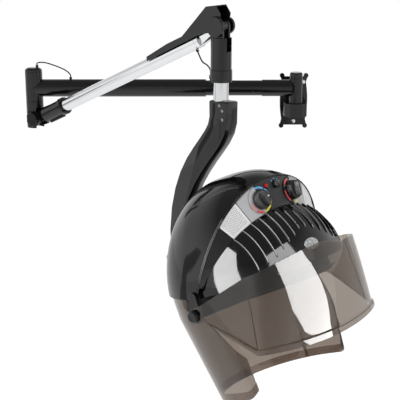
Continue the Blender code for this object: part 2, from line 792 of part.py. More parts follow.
def build_elbow(elbow):
    """Knuckle whose pin turns in the sleeve, its washer, and the lift bolt with its nut."""
    profile = [(0, KNUCKLE_LOW), (SLEEVE_RADIUS, KNUCKLE_LOW), (SLEEVE_RADIUS, KNUCKLE_TOP),
               (ELBOW_PIN_RADIUS, KNUCKLE_TOP), (ELBOW_PIN_RADIUS, ELBOW_PIN_TOP), (0, ELBOW_PIN_TOP)]
    body = turned(profile, segments=FINE)
    knuckle = finish("elbow_knuckle", body, elbow, black_paint("elbow_knuckle"))
    pivot = (LIFT_OUT, -LIFT_DROP)
    outline = arc(pivot, CHEEK_RADIUS, 90, -90, ARC_STEPS)
    outline += [(SLOT_BACK, -LIFT_DROP - CHEEK_RADIUS), (SLOT_BACK, -LIFT_DROP + CHEEK_RADIUS)]
    half = SLEEVE_RADIUS - GAP
    cheeks = prism(outline, 2 * half, Matrix.Translation((0, half, 0)) @ to_y())
    combine(knuckle, finish("knuckle_stock", cheeks, elbow), "UNION")
    reach = LIFT_OUT + 2 * CHEEK_RADIUS
    slot = box((SLOT_BACK, -SLOT_HALF, KNUCKLE_LOW - CHEEK_RADIUS), (reach, SLOT_HALF, SLOT_ROOF))
    across = Matrix.Translation((LIFT_OUT, 0, -LIFT_DROP)) @ to_y()
    bolt_bore = rod(BOLT_RADIUS + BORE_PLAY, -reach, reach, across)
    combine(knuckle, finish("slot_cutter", slot, elbow), "DIFFERENCE")
    combine(knuckle, finish("bolt_cutter", bolt_bore, elbow), "DIFFERENCE")
    eye = ELBOW_PIN_RADIUS + BORE_PLAY
    washer = tube(SLEEVE_RADIUS, eye, KNUCKLE_TOP + GAP, SLEEVE_LOW - GAP, segments=FINE)
    finish("elbow_washer", washer, elbow, steel("elbow_washer"))
    face = SLEEVE_RADIUS + GAP
    head = [hex_ring(HEX_APOTHEM, face + HEX_THICK), hex_ring(HEX_APOTHEM, face)]
    shank = [ring(BOLT_RADIUS, BOLT_RADIUS, height, HEX_POINTS) for height in (face, -face)]
    finish("lift_bolt", placed(loft(head + shank), across), elbow, black_plastic("lift_bolt"))
    nut = loft([hex_ring(HEX_APOTHEM, -face - GAP), hex_ring(HEX_APOTHEM, -face - HEX_THICK)])
    finish("lift_nut", placed(nut, across), elbow, black_plastic("lift_nut"))


def build_spring_arm(lift):
    """Collet with its tongue, chrome tube, balance spring, head block and cover."""
    along = to_x()
    profile = [(0, COLLET_START), (COLLET_RADIUS, COLLET_START), (COLLET_NARROW, COLLET_RING_START),
               (COLLET_RING, COLLET_RING_START), (COLLET_RING, COLLET_END),
               (SPRING_TUBE_RADIUS + BORE_PLAY, COLLET_END), (SPRING_TUBE_RADIUS + BORE_PLAY, COLLET_FLOOR),
               (0, COLLET_FLOOR)]
    collet = finish("arm_collet", turned(profile, along, FINE), lift, black_plastic("arm_collet"))
    neck = COLLET_START + 0.5 * (COLLET_FLOOR - COLLET_START)
    outline = arc((0, 0), TONGUE_RADIUS, 90, 270, SMALL_ARC_STEPS)
    outline += [(neck, -TONGUE_RADIUS), (neck, TONGUE_RADIUS)]
    tongue = prism(outline, 2 * TONGUE_HALF, Matrix.Translation((0, TONGUE_HALF, 0)) @ to_y())
    combine(collet, finish("tongue_stock", tongue, lift), "UNION")
    bore = rod(BOLT_RADIUS + BORE_PLAY, -2 * TONGUE_HALF, 2 * TONGUE_HALF, to_y())
    combine(collet, finish("tongue_cutter", bore, lift), "DIFFERENCE")
    rail_low = -COLLET_RADIUS - RAIL_THICK
    rail = box((RAIL_START, -RAIL_HALF, rail_low), (RAIL_END, RAIL_HALF, -COLLET_FLANK))
    combine(collet, finish("rail_stock", rail, lift), "UNION")
    inner = SPRING_TUBE_RADIUS - SPRING_TUBE_WALL
    tube_end = SPRING_ARM_LENGTH - TUBE_STOP
    spring_tube = tube(SPRING_TUBE_RADIUS, inner, COLLET_FLOOR + GAP, tube_end, along, FINE)
    finish("spring_arm_tube", spring_tube, lift, chrome("spring_arm_tube"))
    build_balance_spring(lift, inner)
    build_head_block(lift, inner, tube_end)
    build_head_cover(lift)


def build_balance_spring(lift, inner):
    """Coil spring that rests against the inside of the tube."""
    coil = inner - COIL_WIRE - GAP
    steps = COIL_TURNS * COIL_STEPS
    rings = []
    for step in range(steps + 1):
        turn = 2 * pi * step / COIL_STEPS
        outward = Vector((0, cos(turn), sin(turn)))
        centre = Vector((COIL_START + COIL_LENGTH * step / steps, 0, 0)) + outward * coil
        section = []
        for side in range(COIL_SIDES):
            angle = 2 * pi * side / COIL_SIDES
            offset = cos(angle) * outward + sin(angle) * Vector((1, 0, 0))
            section.append(centre + COIL_WIRE * offset)
        rings.append(section)
    finish("balance_spring", loft(rings), lift, steel("balance_spring"))


def build_head_block(lift, inner, tube_end):
    """Plug in the tube's end with the lug that carries the head axle."""
    along = to_x()
    plug = inner - BORE_PLAY
    face = tube_end + GAP
    profile = [(0, tube_end - BLOCK_SPIGOT), (plug, tube_end - BLOCK_SPIGOT), (plug, face),
               (SPRING_TUBE_RADIUS, face), (SPRING_TUBE_RADIUS, face + BLOCK_FLANGE),
               (0, face + BLOCK_FLANGE)]
    block = finish("head_block", turned(profile, along, FINE), lift, black_plastic("head_block"))
    axle = (SPRING_ARM_LENGTH, AXLE_RISE)
    root = face + 0.5 * BLOCK_FLANGE
    outline = arc(axle, LUG_RADIUS, -90, 90, SMALL_ARC_STEPS)
    outline += [(root, LUG_RADIUS), (root, -LUG_RADIUS)]
    lug = prism(outline, 2 * LUG_HALF, Matrix.Translation((0, LUG_HALF, 0)) @ to_y())
    combine(block, finish("lug_stock", lug, lift), "UNION")
    across = Matrix.Translation((SPRING_ARM_LENGTH, 0, AXLE_RISE)) @ to_y()
    bore = rod(AXLE_RADIUS + BORE_PLAY, -2 * LUG_HALF, 2 * LUG_HALF, across)
    combine(block, finish("lug_cutter", bore, lift), "DIFFERENCE")
    place = Matrix.Translation((SPRING_ARM_LENGTH - ARM_GROMMET_X, 0, 0))
    seat = -SPRING_TUBE_RADIUS - GAP
    grommet = rod(GROMMET_RADIUS, seat - GROMMET_HEIGHT, seat, place, COARSE)
    finish("arm_grommet", grommet, lift, rubber("arm_grommet"))


def build_head_cover(lift):
    """Channel over the tube's upper end that rises to a peak over the head axle."""
    half = COVER_INNER + COVER_WALL
    top = [COVER_TAIL_TOP, COVER_STEP, COVER_KNEE, COVER_PEAK, COVER_NOSE, COVER_CHIN]
    low = [(0.0, COVER_SKIRT - COVER_CHIN_DROP), (COVER_KNEE[0] / 2, COVER_SKIRT), COVER_TAIL]
    outline = [(SPRING_ARM_LENGTH - back, up) for back, up in top + low]
    cover_bm = prism(outline, 2 * half, Matrix.Translation((0, half, 0)) @ to_y())
    cover = finish("head_cover", cover_bm, lift, black_plastic("head_cover"))
    roof = COVER_ROOF
    hollow_top = [(COVER_TAIL[0] + roof, COVER_TAIL_TOP[1] + GAP), (COVER_STEP[0], COVER_STEP[1] - roof),
                  (COVER_KNEE[0] - roof, COVER_KNEE[1] - roof), (COVER_PEAK[0], COVER_PEAK[1] - 2 * roof),
                  (COVER_NOSE[0] - roof, COVER_NOSE[1] - roof), (COVER_CHIN[0] - roof, COVER_CHIN[1])]
    deep = -2 * SPRING_TUBE_RADIUS
    hollow_low = [(COVER_CHIN[0] - roof, deep), (COVER_TAIL[0] + roof, deep)]
    hollow_outline = [(SPRING_ARM_LENGTH - back, up) for back, up in hollow_top + hollow_low]
    hollow_place = Matrix.Translation((0, COVER_INNER, 0)) @ to_y()
    hollow = prism(hollow_outline, 2 * COVER_INNER, hollow_place)
    combine(cover, finish("cover_hollow", hollow, lift), "DIFFERENCE")
    across = Matrix.Translation((SPRING_ARM_LENGTH, 0, AXLE_RISE)) @ to_y()
    bore = rod(AXLE_RADIUS + BORE_PLAY, -2 * half, 2 * half, across)
    combine(cover, finish("cover_cutter", bore, lift), "DIFFERENCE")


def build_head_post(post):
    """Forked post on the head axle, with the axle's cap, the collar and the short lead."""
    body = rod(POST_RADIUS, POST_LOW, POST_TOP, segments=FINE)
    head = finish("head_post", body, post, black_paint("head_post"))
    foot = POST_TOP - EAR_RADIUS
    outline = arc((0, 0), EAR_RADIUS, 0, 180, ARC_STEPS) + [(-EAR_RADIUS, foot), (EAR_RADIUS, foot)]
    ears = prism(outline, 2 * EAR_HALF, Matrix.Translation((0, EAR_HALF, 0)) @ to_y())
    combine(head, finish("ear_stock", ears, post), "UNION")
    wide = 2 * POST_RADIUS
    slot = box((-wide, -FORK_HALF, FORK_FLOOR), (wide, FORK_HALF, wide))
    axle_bore = rod(AXLE_RADIUS + BORE_PLAY, -wide, wide, to_y())
    swivel_bore = rod(SWIVEL_RADIUS + BORE_PLAY, POST_LOW - wide, SWIVEL_BORE_TOP, segments=FINE)
    combine(head, finish("fork_cutter", slot, post), "DIFFERENCE")
    combine(head, finish("axle_cutter", axle_bore, post), "DIFFERENCE")
    combine(head, finish("swivel_cutter", swivel_bore, post), "DIFFERENCE")
    outside = COVER_INNER + COVER_WALL + GAP
    far_face = -outside - AXLE_CAP_THICK
    far = [(0, far_face), (FAR_CAP_RADIUS, far_face), (FAR_CAP_RADIUS, -outside), (AXLE_RADIUS, -outside),
           (AXLE_RADIUS, outside), (0, outside)]
    finish("head_axle", turned(far, to_y(), FINE), post, black_plastic("head_axle"))
    low = outside + GAP
    high = low + AXLE_CAP_THICK
    cap = [(0, low), (NEAR_CAP_RADIUS, low), (NEAR_CAP_RADIUS, high - AXLE_CAP_EDGE),
           (NEAR_CAP_RADIUS - AXLE_CAP_EDGE, high), (0, high)]
    finish("axle_cap", turned(cap, to_y(), FINE), post, black_plastic("axle_cap"))
    eye = SWIVEL_RADIUS + BORE_PLAY
    ring_stock = tube(POST_COLLAR_RADIUS, eye, POST_COLLAR_LOW, POST_LOW - GAP, segments=FINE)
    collar = finish("post_collar", ring_stock, post, black_plastic("post_collar"))
    root = 0.5 * (SWIVEL_RADIUS + POST_COLLAR_RADIUS)
    clip = box((-LEAD_CLIP_OUT, -LEAD_CLIP_HALF, LEAD_CLIP_LOW), (-root, LEAD_CLIP_HALF, LEAD_CLIP_TOP))
    combine(collar, finish("clip_stock", clip, post), "UNION")
    build_head_lead(post)


def build_head_lead(post):
    """Lead from the grommet under the sprung arm to the clip on the collar."""
    turn = Matrix.Rotation(-SPRING_ARM_SLOPE, 4, "Y")
    foot = Vector((-ARM_GROMMET_X, 0, -SPRING_TUBE_RADIUS - GROMMET_HEIGHT - 2 * GAP - AXLE_RISE))
    start = turn @ foot
    away = turn @ (foot - Vector((0, 0, 3 * LEAD_RADIUS)))
    end = Vector((HEAD_LEAD_ROUTE[-1][0], 0, LEAD_CLIP_TOP + GAP))
    lead("head_lead", [start, away] + [(x, 0, z) for x, z in HEAD_LEAD_ROUTE] + [end], post)


def neck_outline():
    """Side view of the neck: a stem under the tube that bends back and down to the hinge."""
    start = Vector((0.5 * (NECK_REAR + NECK_FRONT), NECK_SHOULDER))
    hinge = Vector((HINGE_X, HINGE_Z))
    bend = (Vector(NECK_BEND_HIGH), Vector(NECK_BEND_LOW))
    path = interpolate_bezier(start, *bend, hinge, NECK_STEPS)
    half_top = 0.5 * (NECK_FRONT - NECK_REAR)
    front = [(NECK_FRONT, 0.0)]
    rear = [(NECK_REAR, 0.0)]
    for index, point in enumerate(path):
        before = path[max(index - 1, 0)]
        after = path[min(index + 1, len(path) - 1)]
        heading = (after - before).normalized()
        normal = Vector((-heading.y, heading.x))
        share = index / (len(path) - 1)
        drawn_in = max(0.0, (share - NECK_TAPER_START) / (1 - NECK_TAPER_START))
        half = half_top + (NECK_END_RADIUS - half_top) * drawn_in
        front.append(tuple(point + normal * half))
        rear.append(tuple(point - normal * half))
    lead_in = atan2(front[-1][1] - hinge.y, front[-1][0] - hinge.x)
    foot = []
    for step in range(1, NECK_FOOT_STEPS):
        angle = lead_in - pi * step / NECK_FOOT_STEPS
        reach = Vector((cos(angle), sin(angle))) * NECK_END_RADIUS
        foot.append(tuple(hinge + reach))
    return front + foot + list(reversed(rear))


def build_neck(swivel):
    """Chrome swivel tube and the curved neck it stands in."""
    top = SWIVEL_BORE_TOP - NECK_TOP - GAP
    pipe = tube(SWIVEL_RADIUS, SWIVEL_RADIUS - TUBE_WALL, -SWIVEL_DEPTH + GAP, top, segments=FINE)
    finish("swivel_tube", pipe, swivel, chrome("swivel_tube"))
    width = 2 * NECK_HALF_WIDTH
    solid = prism(neck_outline(), width, Matrix.Translation((0, NECK_HALF_WIDTH, 0)) @ to_y())
    neck = finish("neck", solid, swivel, black_plastic("neck"))
    bevel = neck.modifiers.new("soft edges", "BEVEL")
    bevel.width = NECK_BEVEL
    bevel.segments = NECK_BEVEL_STEPS
    bevel.limit_method = "ANGLE"
    bevel.angle_limit = NECK_BEVEL_ANGLE
    stem_bore = rod(SWIVEL_RADIUS + BORE_PLAY, -SWIVEL_DEPTH, SWIVEL_DEPTH, segments=FINE)
    across = Matrix.Translation((HINGE_X, 0, HINGE_Z)) @ to_y()
    hinge_bore = rod(HINGE_PIN_RADIUS + BORE_PLAY, -width, width, across)
    combine(neck, finish("neck_cutter", merge_into(stem_bore, hinge_bore), swivel), "DIFFERENCE")


def build_hinge(hood):
    """Bracket on the rear shell with its two ears, and the tilt pin clamped by a knob at each end."""
    ear_in = NECK_HALF_WIDTH + 2 * GAP
    back = HINGE_IN_HOOD.x - BRACKET_REACH
    half = [(BRACKET_INNER, BRACKET_HALF), (back, BRACKET_HALF), (back, ear_in), (BRACKET_FACE, ear_in)]
    outline = half + [(x, -y) for x, y in reversed(half)]
    block = prism(outline, BRACKET_TOP - BRACKET_LOW, Matrix.Translation((0, 0, BRACKET_LOW)))
    bracket = finish("hinge_bracket", block, hood, black_plastic("hinge_bracket"))
    slices = spread(*BRACKET_CUT_SLICES, BRACKET_CUT_STEPS)
    arches = spread(*BRACKET_CUT_ARCHES, BRACKET_CUT_STEPS)
    dome_cut = hull_shell(resized(DOME, GAP), resized(DOME, -2 * BRACKET_HALF), slices, arches, True)
    combine(bracket, finish("bracket_dome_cutter", dome_cut, hood), "DIFFERENCE")
    across = Matrix.Translation(HINGE_IN_HOOD) @ to_y()
    bore = rod(HINGE_PIN_RADIUS + BORE_PLAY, -2 * BRACKET_HALF, 2 * BRACKET_HALF, across)
    combine(bracket, finish("bracket_cutter", bore, hood), "DIFFERENCE")
    face = BRACKET_HALF + GAP
    crown = face + TILT_KNOB_THICK
    knob = [(TILT_KNOB_RADIUS, face), (TILT_KNOB_RADIUS, crown - TILT_KNOB_EDGE),
            (TILT_KNOB_RADIUS - TILT_KNOB_EDGE, crown), (0, crown)]
    pin = [(0, -BRACKET_HALF), (HINGE_PIN_RADIUS, -BRACKET_HALF), (HINGE_PIN_RADIUS, face)]
    finish("tilt_pin", turned(pin + knob, across), hood, black_plastic("tilt_pin"))
    far = Matrix.Translation(HINGE_IN_HOOD) @ Matrix.Rotation(pi, 4, "Z") @ to_y()
    finish("tilt_knob", turned([(0, face)] + knob, far), hood, black_plastic("tilt_knob"))


def build_rear_shell(hood):
    """Glossy dome behind the seam, from ear to ear."""
    slices = spread(SEAM_SLICE + SLICE_GAP, REAR_SLICE, REAR_STEPS)
    arches = spread(0, pi, ARCH_STEPS)
    shell = hull_shell(DOME, resized(DOME, -SHELL_WALL), slices, arches, False)
    finish("rear_shell", shell, hood, black_plastic("rear_shell"))


def build_seam_trim(hood):
    """Double bead along the seam: a flat strip with a groove down its middle."""
    half = [(-1, 0), (-1, TRIM_SHOULDER), (-TRIM_CREST, 1)]
    groove = [(0, 1 - TRIM_GROOVE / TRIM_THICK)]
    profile = half + groove + [(-across, up) for across, up in reversed(half)]
    rings = []
    for arch in spread(TRIM_START, pi - TRIM_START, TRIM_STEPS):
        centre = slice_point(DOME, SEAM_SLICE, arch)
        out = (centre - SLICE_AXIS).normalized()
        axis = Vector((-sin(SEAM_SLICE), 0, cos(SEAM_SLICE)))
        low = centre + out * (GAP + TRIM_LIFT)
        section = []
        for across, up in profile:
            section.append(low + axis * (across * TRIM_HALF) + out * (up * TRIM_THICK))
        rings.append(section)
    finish("seam_trim", loft(rings), hood, silver("seam_trim"))


def rib_outline(across):
    """Side view of one rib: it follows the bonnet and ends on the arch above the smooth front."""
    end_height = RIB_END_TOP - RIB_END_FALL * across ** 2
    origin = Vector((SLICE_AXIS.x, across, SLICE_AXIS.z))
    crest = resized(BONNET, RIB_RISE)
    root = resized(BONNET, -RIB_ROOT)
    top = []
    base = []
    for angle in spread(RIB_SLICE - 2 * SLICE_GAP, FRONT_SLICE, RIB_STEPS):
        heading = Vector((cos(angle), 0, sin(angle)))
        high = hull_reach(crest, origin, heading)
        if high.z < end_height:
            break
        low = hull_reach(root, origin, heading)
        top.append((high.x, high.z))
        base.append((low.x, low.z))
    return top + list(reversed(base))


def build_front_shell(hood):
    """Ribbed bonnet in front of the panel, open underneath."""
    slices = spread(RIB_SLICE - SLICE_GAP, FRONT_SLICE, BONNET_STEPS)
    arches = spread(0, pi, ARCH_STEPS)
    shell = hull_shell(BONNET, resized(BONNET, -SHELL_WALL), slices, arches, False)
    bonnet = finish("front_shell", shell, hood, black_plastic("front_shell"))
    ribs = bmesh.new()
    first = -0.5 * (RIB_COUNT - 1) * RIB_PITCH
    for index in range(RIB_COUNT):
        across = first + index * RIB_PITCH
        place = Matrix.Translation((0, across + RIB_THICK / 2, 0)) @ to_y()
        merge_into(ribs, prism(rib_outline(across), RIB_THICK, place))
    combine(bonnet, finish("rib_stock", ribs, hood), "UNION")


def band_piece(start, end, steps):
    """Closed piece of the sloping face between two arch angles."""
    rows = spread(0, 1, BAND_STEPS)
    rings = []
    for arch in spread(start, end, steps):
        skin = [band_point(arch, row) for row in rows]
        back = [band_point(arch, row, BAND_WALL) for row in reversed(rows)]
        rings.append(skin + back)
    return loft(rings)


def build_face(hood):
    """Control panel in the middle of the sloping face, a grille and a cheek on each side of it."""
    edge = PANEL_EDGE + SLICE_GAP
    film = make_material("control_panel", (0.10, 0.10, 0.11), 0.0, 0.4)
    panel = finish("control_panel", band_piece(edge, pi - edge, PANEL_STEPS), hood, film)
    cuts = bmesh.new()
    for arch in (KNOB_ARCH, pi - KNOB_ARCH):
        dial = band_frame(arch, KNOB_ROW)
        merge_into(cuts, rod(DIAL_RADIUS + BORE_PLAY, -CUTTER_HALF, CUTTER_HALF, dial, FINE))
    selector = band_frame(SELECTOR_ARCH, SELECTOR_ROW)
    merge_into(cuts, rod(SHAFT_RADIUS + BORE_PLAY, -CUTTER_HALF, CUTTER_HALF, selector, COARSE))
    lamp = band_frame(LAMP_ARCH, LAMP_ROW)
    merge_into(cuts, rod(LAMP_RADIUS + BORE_PLAY, -CUTTER_HALF, CUTTER_HALF, lamp, COARSE))
    combine(panel, finish("panel_cutter", cuts, hood), "DIFFERENCE")
    for name, mirror in (("left", False), ("right", True)):
        grille = (GRILLE_EDGE, PANEL_EDGE, GRILLE_STEPS, silver, f"{name}_grille")
        cheek = (CHEEK_EDGE, GRILLE_EDGE, CHEEK_STEPS, black_plastic, f"{name}_cheek")
        for start, end, steps, look, part_name in (grille, cheek):
            low, high = (pi - end, pi - start) if mirror else (start, end)
            piece = band_piece(low + SLICE_GAP, high - SLICE_GAP, steps)
            finish(part_name, piece, hood, look(part_name))
    profile = [(0, -BAND_WALL), (LAMP_RADIUS, -BAND_WALL), (LAMP_RADIUS, LAMP_EDGE),
               (LAMP_SHOULDER_SHARE * LAMP_RADIUS, LAMP_SHOULDER), (0, LAMP_TOP)]
    red = make_material("lamp_lens", (0.6, 0.02, 0.03), 0.0, 0.15)
    finish("lamp_lens", turned(profile, lamp, COARSE), hood, red)


def knob_rings(radius, base, top, grip, count):
    """Round knob with a narrow grip across its top and a shaft below."""
    lift = DIAL_FACE + GAP
    rounds = [(SHAFT_RADIUS, SHAFT_BACK), (SHAFT_RADIUS, lift), (KNOB_FOOT_SHARE * radius, lift),
              (radius, lift + KNOB_FOOT_EDGE), (KNOB_RIM_SHARE * radius, base - KNOB_RIM_EDGE),
              (KNOB_CROWN_SHARE * radius, base)]
    rings = [ring(reach, reach, height, count) for reach, height in rounds]
    rings.append(ring(GRIP_FOOT_SHARE * radius, grip, base + GRIP_FOOT_RISE, count))
    rings.append(ring(GRIP_TOP_SHARE * radius, GRIP_TAPER * grip, top, count))
    return rings


def build_dial(name, unit_name, arch, hood, knob_frame):
    """Dial plate in the panel, its knob and the unit behind it."""
    place = band_frame(arch, KNOB_ROW)
    bore = SHAFT_RADIUS + BORE_PLAY
    plate = tube(DIAL_RADIUS, bore, DIAL_BACK, DIAL_FACE, place, FINE)
    grey = make_material(f"{name}_dial", (0.45, 0.46, 0.48), 0.0, 0.4)
    finish(f"{name}_dial", plate, hood, grey)
    unit_top = DIAL_BACK - GAP
    unit = tube(UNIT_RADIUS, bore, unit_top - UNIT_DEPTH, unit_top, place)
    finish(unit_name, unit, hood, make_material(unit_name, (0.6, 0.58, 0.5), 0.0, 0.5))
    knob = loft(knob_rings(KNOB_RADIUS, KNOB_BASE, KNOB_TOP, KNOB_GRIP_HALF, FINE))
    finish(f"{name}_knob", knob, knob_frame, black_plastic(f"{name}_knob"))


def build_badge(hood):
    """Blank oval badge that follows the bonnet's front."""
    low = resized(BONNET, GAP)
    high = resized(BONNET, GAP + BADGE_THICK)
    rings = []
    count = FINE
    for step in range(count):
        turn = 2 * pi * step / count
        spots = []
        for share in (0.0, 0.5, 1.0):
            angle = BADGE_SLICE + share * BADGE_HALF_ANGLE * cos(turn)
            spots.append((angle, pi / 2 + share * BADGE_HALF_ARCH * sin(turn)))
        skin = [slice_point(high, *spot) for spot in spots]
        back = [slice_point(low, *spot) for spot in reversed(spots)]
        rings.append(skin + back)
    finish("front_badge", loft(rings, wrap=True), hood, silver("front_badge"))


def build_ear_tabs(hood):
    """Tab outside each end of the shells that carries the visor's pivot."""
    crown = EAR_TAB_TOP_SHARE * EAR_TAB_RADIUS
    outline = arc((0, 0), EAR_TAB_RADIUS, 180, 360, ARC_STEPS)
    outline += arc((SLICE_AXIS.x / 2, EAR_TAB_TOP), crown, 0, 180, SMALL_ARC_STEPS)
    for name, side in (("left_ear_tab", 1), ("right_ear_tab", -1)):
        start = EAR_TAB_INNER + EAR_TAB_THICK if side > 0 else -EAR_TAB_INNER
        place = Matrix.Translation((0, start, 0)) @ to_y()
        tab = finish(name, prism(outline, EAR_TAB_THICK, place), hood, black_plastic(name))
        bore = rod(BUTTON_SHAFT + BORE_PLAY, -EAR_TAB_THICK, 2 * EAR_TAB_THICK, place, COARSE)
        combine(tab, finish(f"{name}_cutter", bore, hood), "DIFFERENCE")


def visor_edge(corner, reach, crown, ear_height):
    """One long edge of the visor from the left ear round the front to the right ear."""
    left = []
    for along, share in VISOR_EAR_OUTLINE:
        left.append(Vector((along * VISOR_EAR, VISOR_PLAN, share * ear_height)))
    start = Vector((VISOR_FLAT, VISOR_PLAN, VISOR_FLAT_RISE * ear_height))
    left += [start.lerp(corner, share) for share in spread(0, 1, VISOR_SIDE_STEPS)]
    front = []
    for step in range(1, VISOR_FRONT_STEPS):
        turn = pi * step / VISOR_FRONT_STEPS
        rise = crown * sin(turn) ** 2
        front.append(Vector((corner.x + reach * sin(turn), corner.y * cos(turn), corner.z + rise)))
    right = [Vector((p.x, -p.y, p.z)) for p in reversed(left)]
    return left + front + right


def build_visor(visor):
    """Smoke visor: two side wings from the pivots, a bowed front and a lip along its lower edge."""
    top = visor_edge(VISOR_TOP_CORNER, VISOR_TOP_REACH, VISOR_TOP_CROWN, VISOR_EAR)
    low = visor_edge(VISOR_LOW_CORNER, VISOR_LOW_REACH, VISOR_LOW_CROWN, -VISOR_EAR)
    bm = bmesh.new()
    grid = []
    for high, deep in zip(top, low):
        out = Vector((high.x + deep.x, high.y + deep.y, 0)).normalized()
        column = []
        for share in VISOR_ROW_SHARES:
            lip = LIP_OUT if share > LIP_START and high.x > VISOR_FLAT + GAP else 0.0
            bow = VISOR_BOW * sin(pi * share) * max(0.0, 1 - (high.y / VISOR_TOP_CORNER.y) ** 2)
            column.append(bm.verts.new(high.lerp(deep, share) + out * lip + Vector((bow, 0, 0))))
        grid.append(column)
    for column, after in zip(grid, grid[1:]):
        for i in range(len(VISOR_ROW_SHARES) - 1):
            bm.faces.new((column[i], column[i + 1], after[i + 1], after[i]))
    obj = finish("visor", bm, visor, smoke("visor"))
    wall = obj.modifiers.new("wall", "SOLIDIFY")
    wall.thickness = VISOR_WALL
    wall.offset = 0.0
    cuts = bmesh.new()
    for side in (1, -1):
        place = Matrix.Translation((0, side * VISOR_PLAN, 0)) @ to_y()
        merge_into(cuts, rod(BUTTON_SHAFT + BORE_PLAY, -CUTTER_HALF, CUTTER_HALF, place, COARSE))
    combine(obj, finish("visor_cutter", cuts, visor), "DIFFERENCE")
    build_pivot_button("right_pivot_button", visor, 0)
    build_pivot_button("left_pivot_button", visor, pi)


def build_pivot_button(name, visor, turn):
    """Dished button outside the visor whose shaft runs in the ear tab."""
    root = EAR_TAB_INNER + GAP
    low_face = VISOR_PLAN + VISOR_WALL / 2 + GAP
    high_face = low_face + BUTTON_THICK
    floor = high_face - BUTTON_DISH
    rim = BUTTON_RADIUS
    profile = [(0, root), (BUTTON_SHAFT, root), (BUTTON_SHAFT, low_face), (rim, low_face),
               (rim, high_face - BUTTON_EDGE), (BUTTON_CROWN_SHARE * rim, high_face),
               (BUTTON_DISH_SHARE * rim, high_face), (BUTTON_FLOOR_SHARE * rim, floor), (0, floor)]
    place = Matrix.Rotation(turn, 4, "Z") @ to_y()
    finish(name, turned(profile, place, COARSE), visor, black_plastic(name))


def skirt_plan(turn, height, inset):
    """Point of the skirt's plan at one height; its sides and rear draw in towards the bottom."""
    side = SKIRT_SIDE + SKIRT_TAPER * min(height, 0.0) - inset
    front = SKIRT_FRONT - inset
    rear = SKIRT_REAR + SKIRT_REAR_TAPER * min(height, 0.0) - inset
    along = cos(turn)
    across = sin(turn)
    length, power = (front, SKIRT_FRONT_POWER) if along > 0 else (rear, SKIRT_REAR_POWER)
    scale = (abs(along / length) ** power + abs(across / side) ** power) ** (-1 / power)
    return Vector((along * scale, across * scale, height))


def skirt_heights(x):
    """Upper and lower edge of the skirt at one place along the hood."""
    if x < 0:
        upper = SLICE_AXIS.z + SKIRT_TUCK + SKIRT_EDGE_RISE * (SLICE_AXIS.x - x)
        upper -= max(0.0, 1 + x / SKIRT_EAR_LENGTH) * SKIRT_EAR_DROP
    else:
        fall = (x / SKIRT_FRONT) ** SKIRT_CHEEK_POWER
        upper = SKIRT_CHEEK_RISE + (SKIRT_FRONT_TOP - SKIRT_CHEEK_DROP) * fall
    behind = min(1.0, max(0.0, (SKIRT_LOBE_X - x) / (SKIRT_LOBE_X + SKIRT_LOBE_BACK)))
    ahead = max(0.0, (x - SKIRT_LOBE_X) / (SKIRT_FRONT - SKIRT_LOBE_X))
    lower = SKIRT_LOBE_LOW + (SKIRT_REAR_LOW - SKIRT_LOBE_LOW) * behind ** SKIRT_LOBE_POWER
    lower += (SKIRT_FRONT_LOW - SKIRT_LOBE_LOW) * ahead ** SKIRT_LOBE_FRONT_POWER
    return upper, lower


def build_skirt(hood):
    """Smoke wall below the shells: a rear with long cheek lobes, open between them at the front."""
    rings = []
    for step in range(SKIRT_STEPS):
        turn = 2 * pi * step / SKIRT_STEPS
        level = skirt_plan(turn, SKIRT_FRONT_TOP, 0.0)
        if level.x > SKIRT_FRONT_SHARE * SKIRT_FRONT:
            continue
        upper, lower = skirt_heights(level.x)
        heights = spread(upper, lower, SKIRT_WALL_STEPS)
        skin = [skirt_plan(turn, height, 0.0) for height in heights]
        lining = [skirt_plan(turn, height, SKIRT_WALL) for height in reversed(heights)]
        rings.append(skin + lining)
    finish("skirt", loft(rings), hood, smoke("skirt"))


def liner_reach(turn, growth):
    """How far the liner's wall stands from its middle in one direction."""
    length = LINER_FRONT if cos(turn) > 0 else LINER_REAR
    along = abs(cos(turn) / (length + growth)) ** LINER_POWER
    across = abs(sin(turn) / (LINER_SIDE + growth)) ** LINER_POWER
    return (along + across) ** (-1 / LINER_POWER)


def liner_section(turn, growth):
    """Half section of the bowl in one direction, from the flat top's hole to the rim."""
    heading = Vector((cos(turn), sin(turn), 0))
    reach = liner_reach(turn, growth)
    flat = LINER_FLAT + growth
    points = [heading * (LINER_HOLE - growth)]
    points[0].z = LINER_TOP + growth
    for share in spread(0, pi / 2, LINER_CURVE_STEPS):
        out = flat + (reach - flat) * sin(share)
        points.append(heading * out + Vector((0, 0, (LINER_TOP + growth) * cos(share))))
    rim = heading * reach
    rim.z = LINER_RIM + LINER_RIM_SLOPE * rim.x
    points.append(rim)
    return points


def build_liner(hood):
    """Bowl over the head with a flat, open top; its rim's flange seats inside the skirt at the rear."""
    rings = []
    for step in range(LINER_STEPS):
        turn = 2 * pi * step / LINER_STEPS
        heading = Vector((cos(turn), sin(turn), 0))
        skin = liner_section(turn, 0.0)
        lining = liner_section(turn, -LINER_WALL)
        foot = skin.pop()
        lip = foot + heading * LINER_FLANGE
        if foot.x < LINER_SEAT_START:
            lip = skirt_plan(turn, foot.z, SKIRT_WALL + LINER_SEAT_GAP)
        rise = Vector((0, 0, LINER_WALL))
        rings.append(skin + [foot + rise, lip + rise, lip] + list(reversed(lining)))
    finish("liner", loft(rings, wrap=True), hood, black_plastic("liner"))


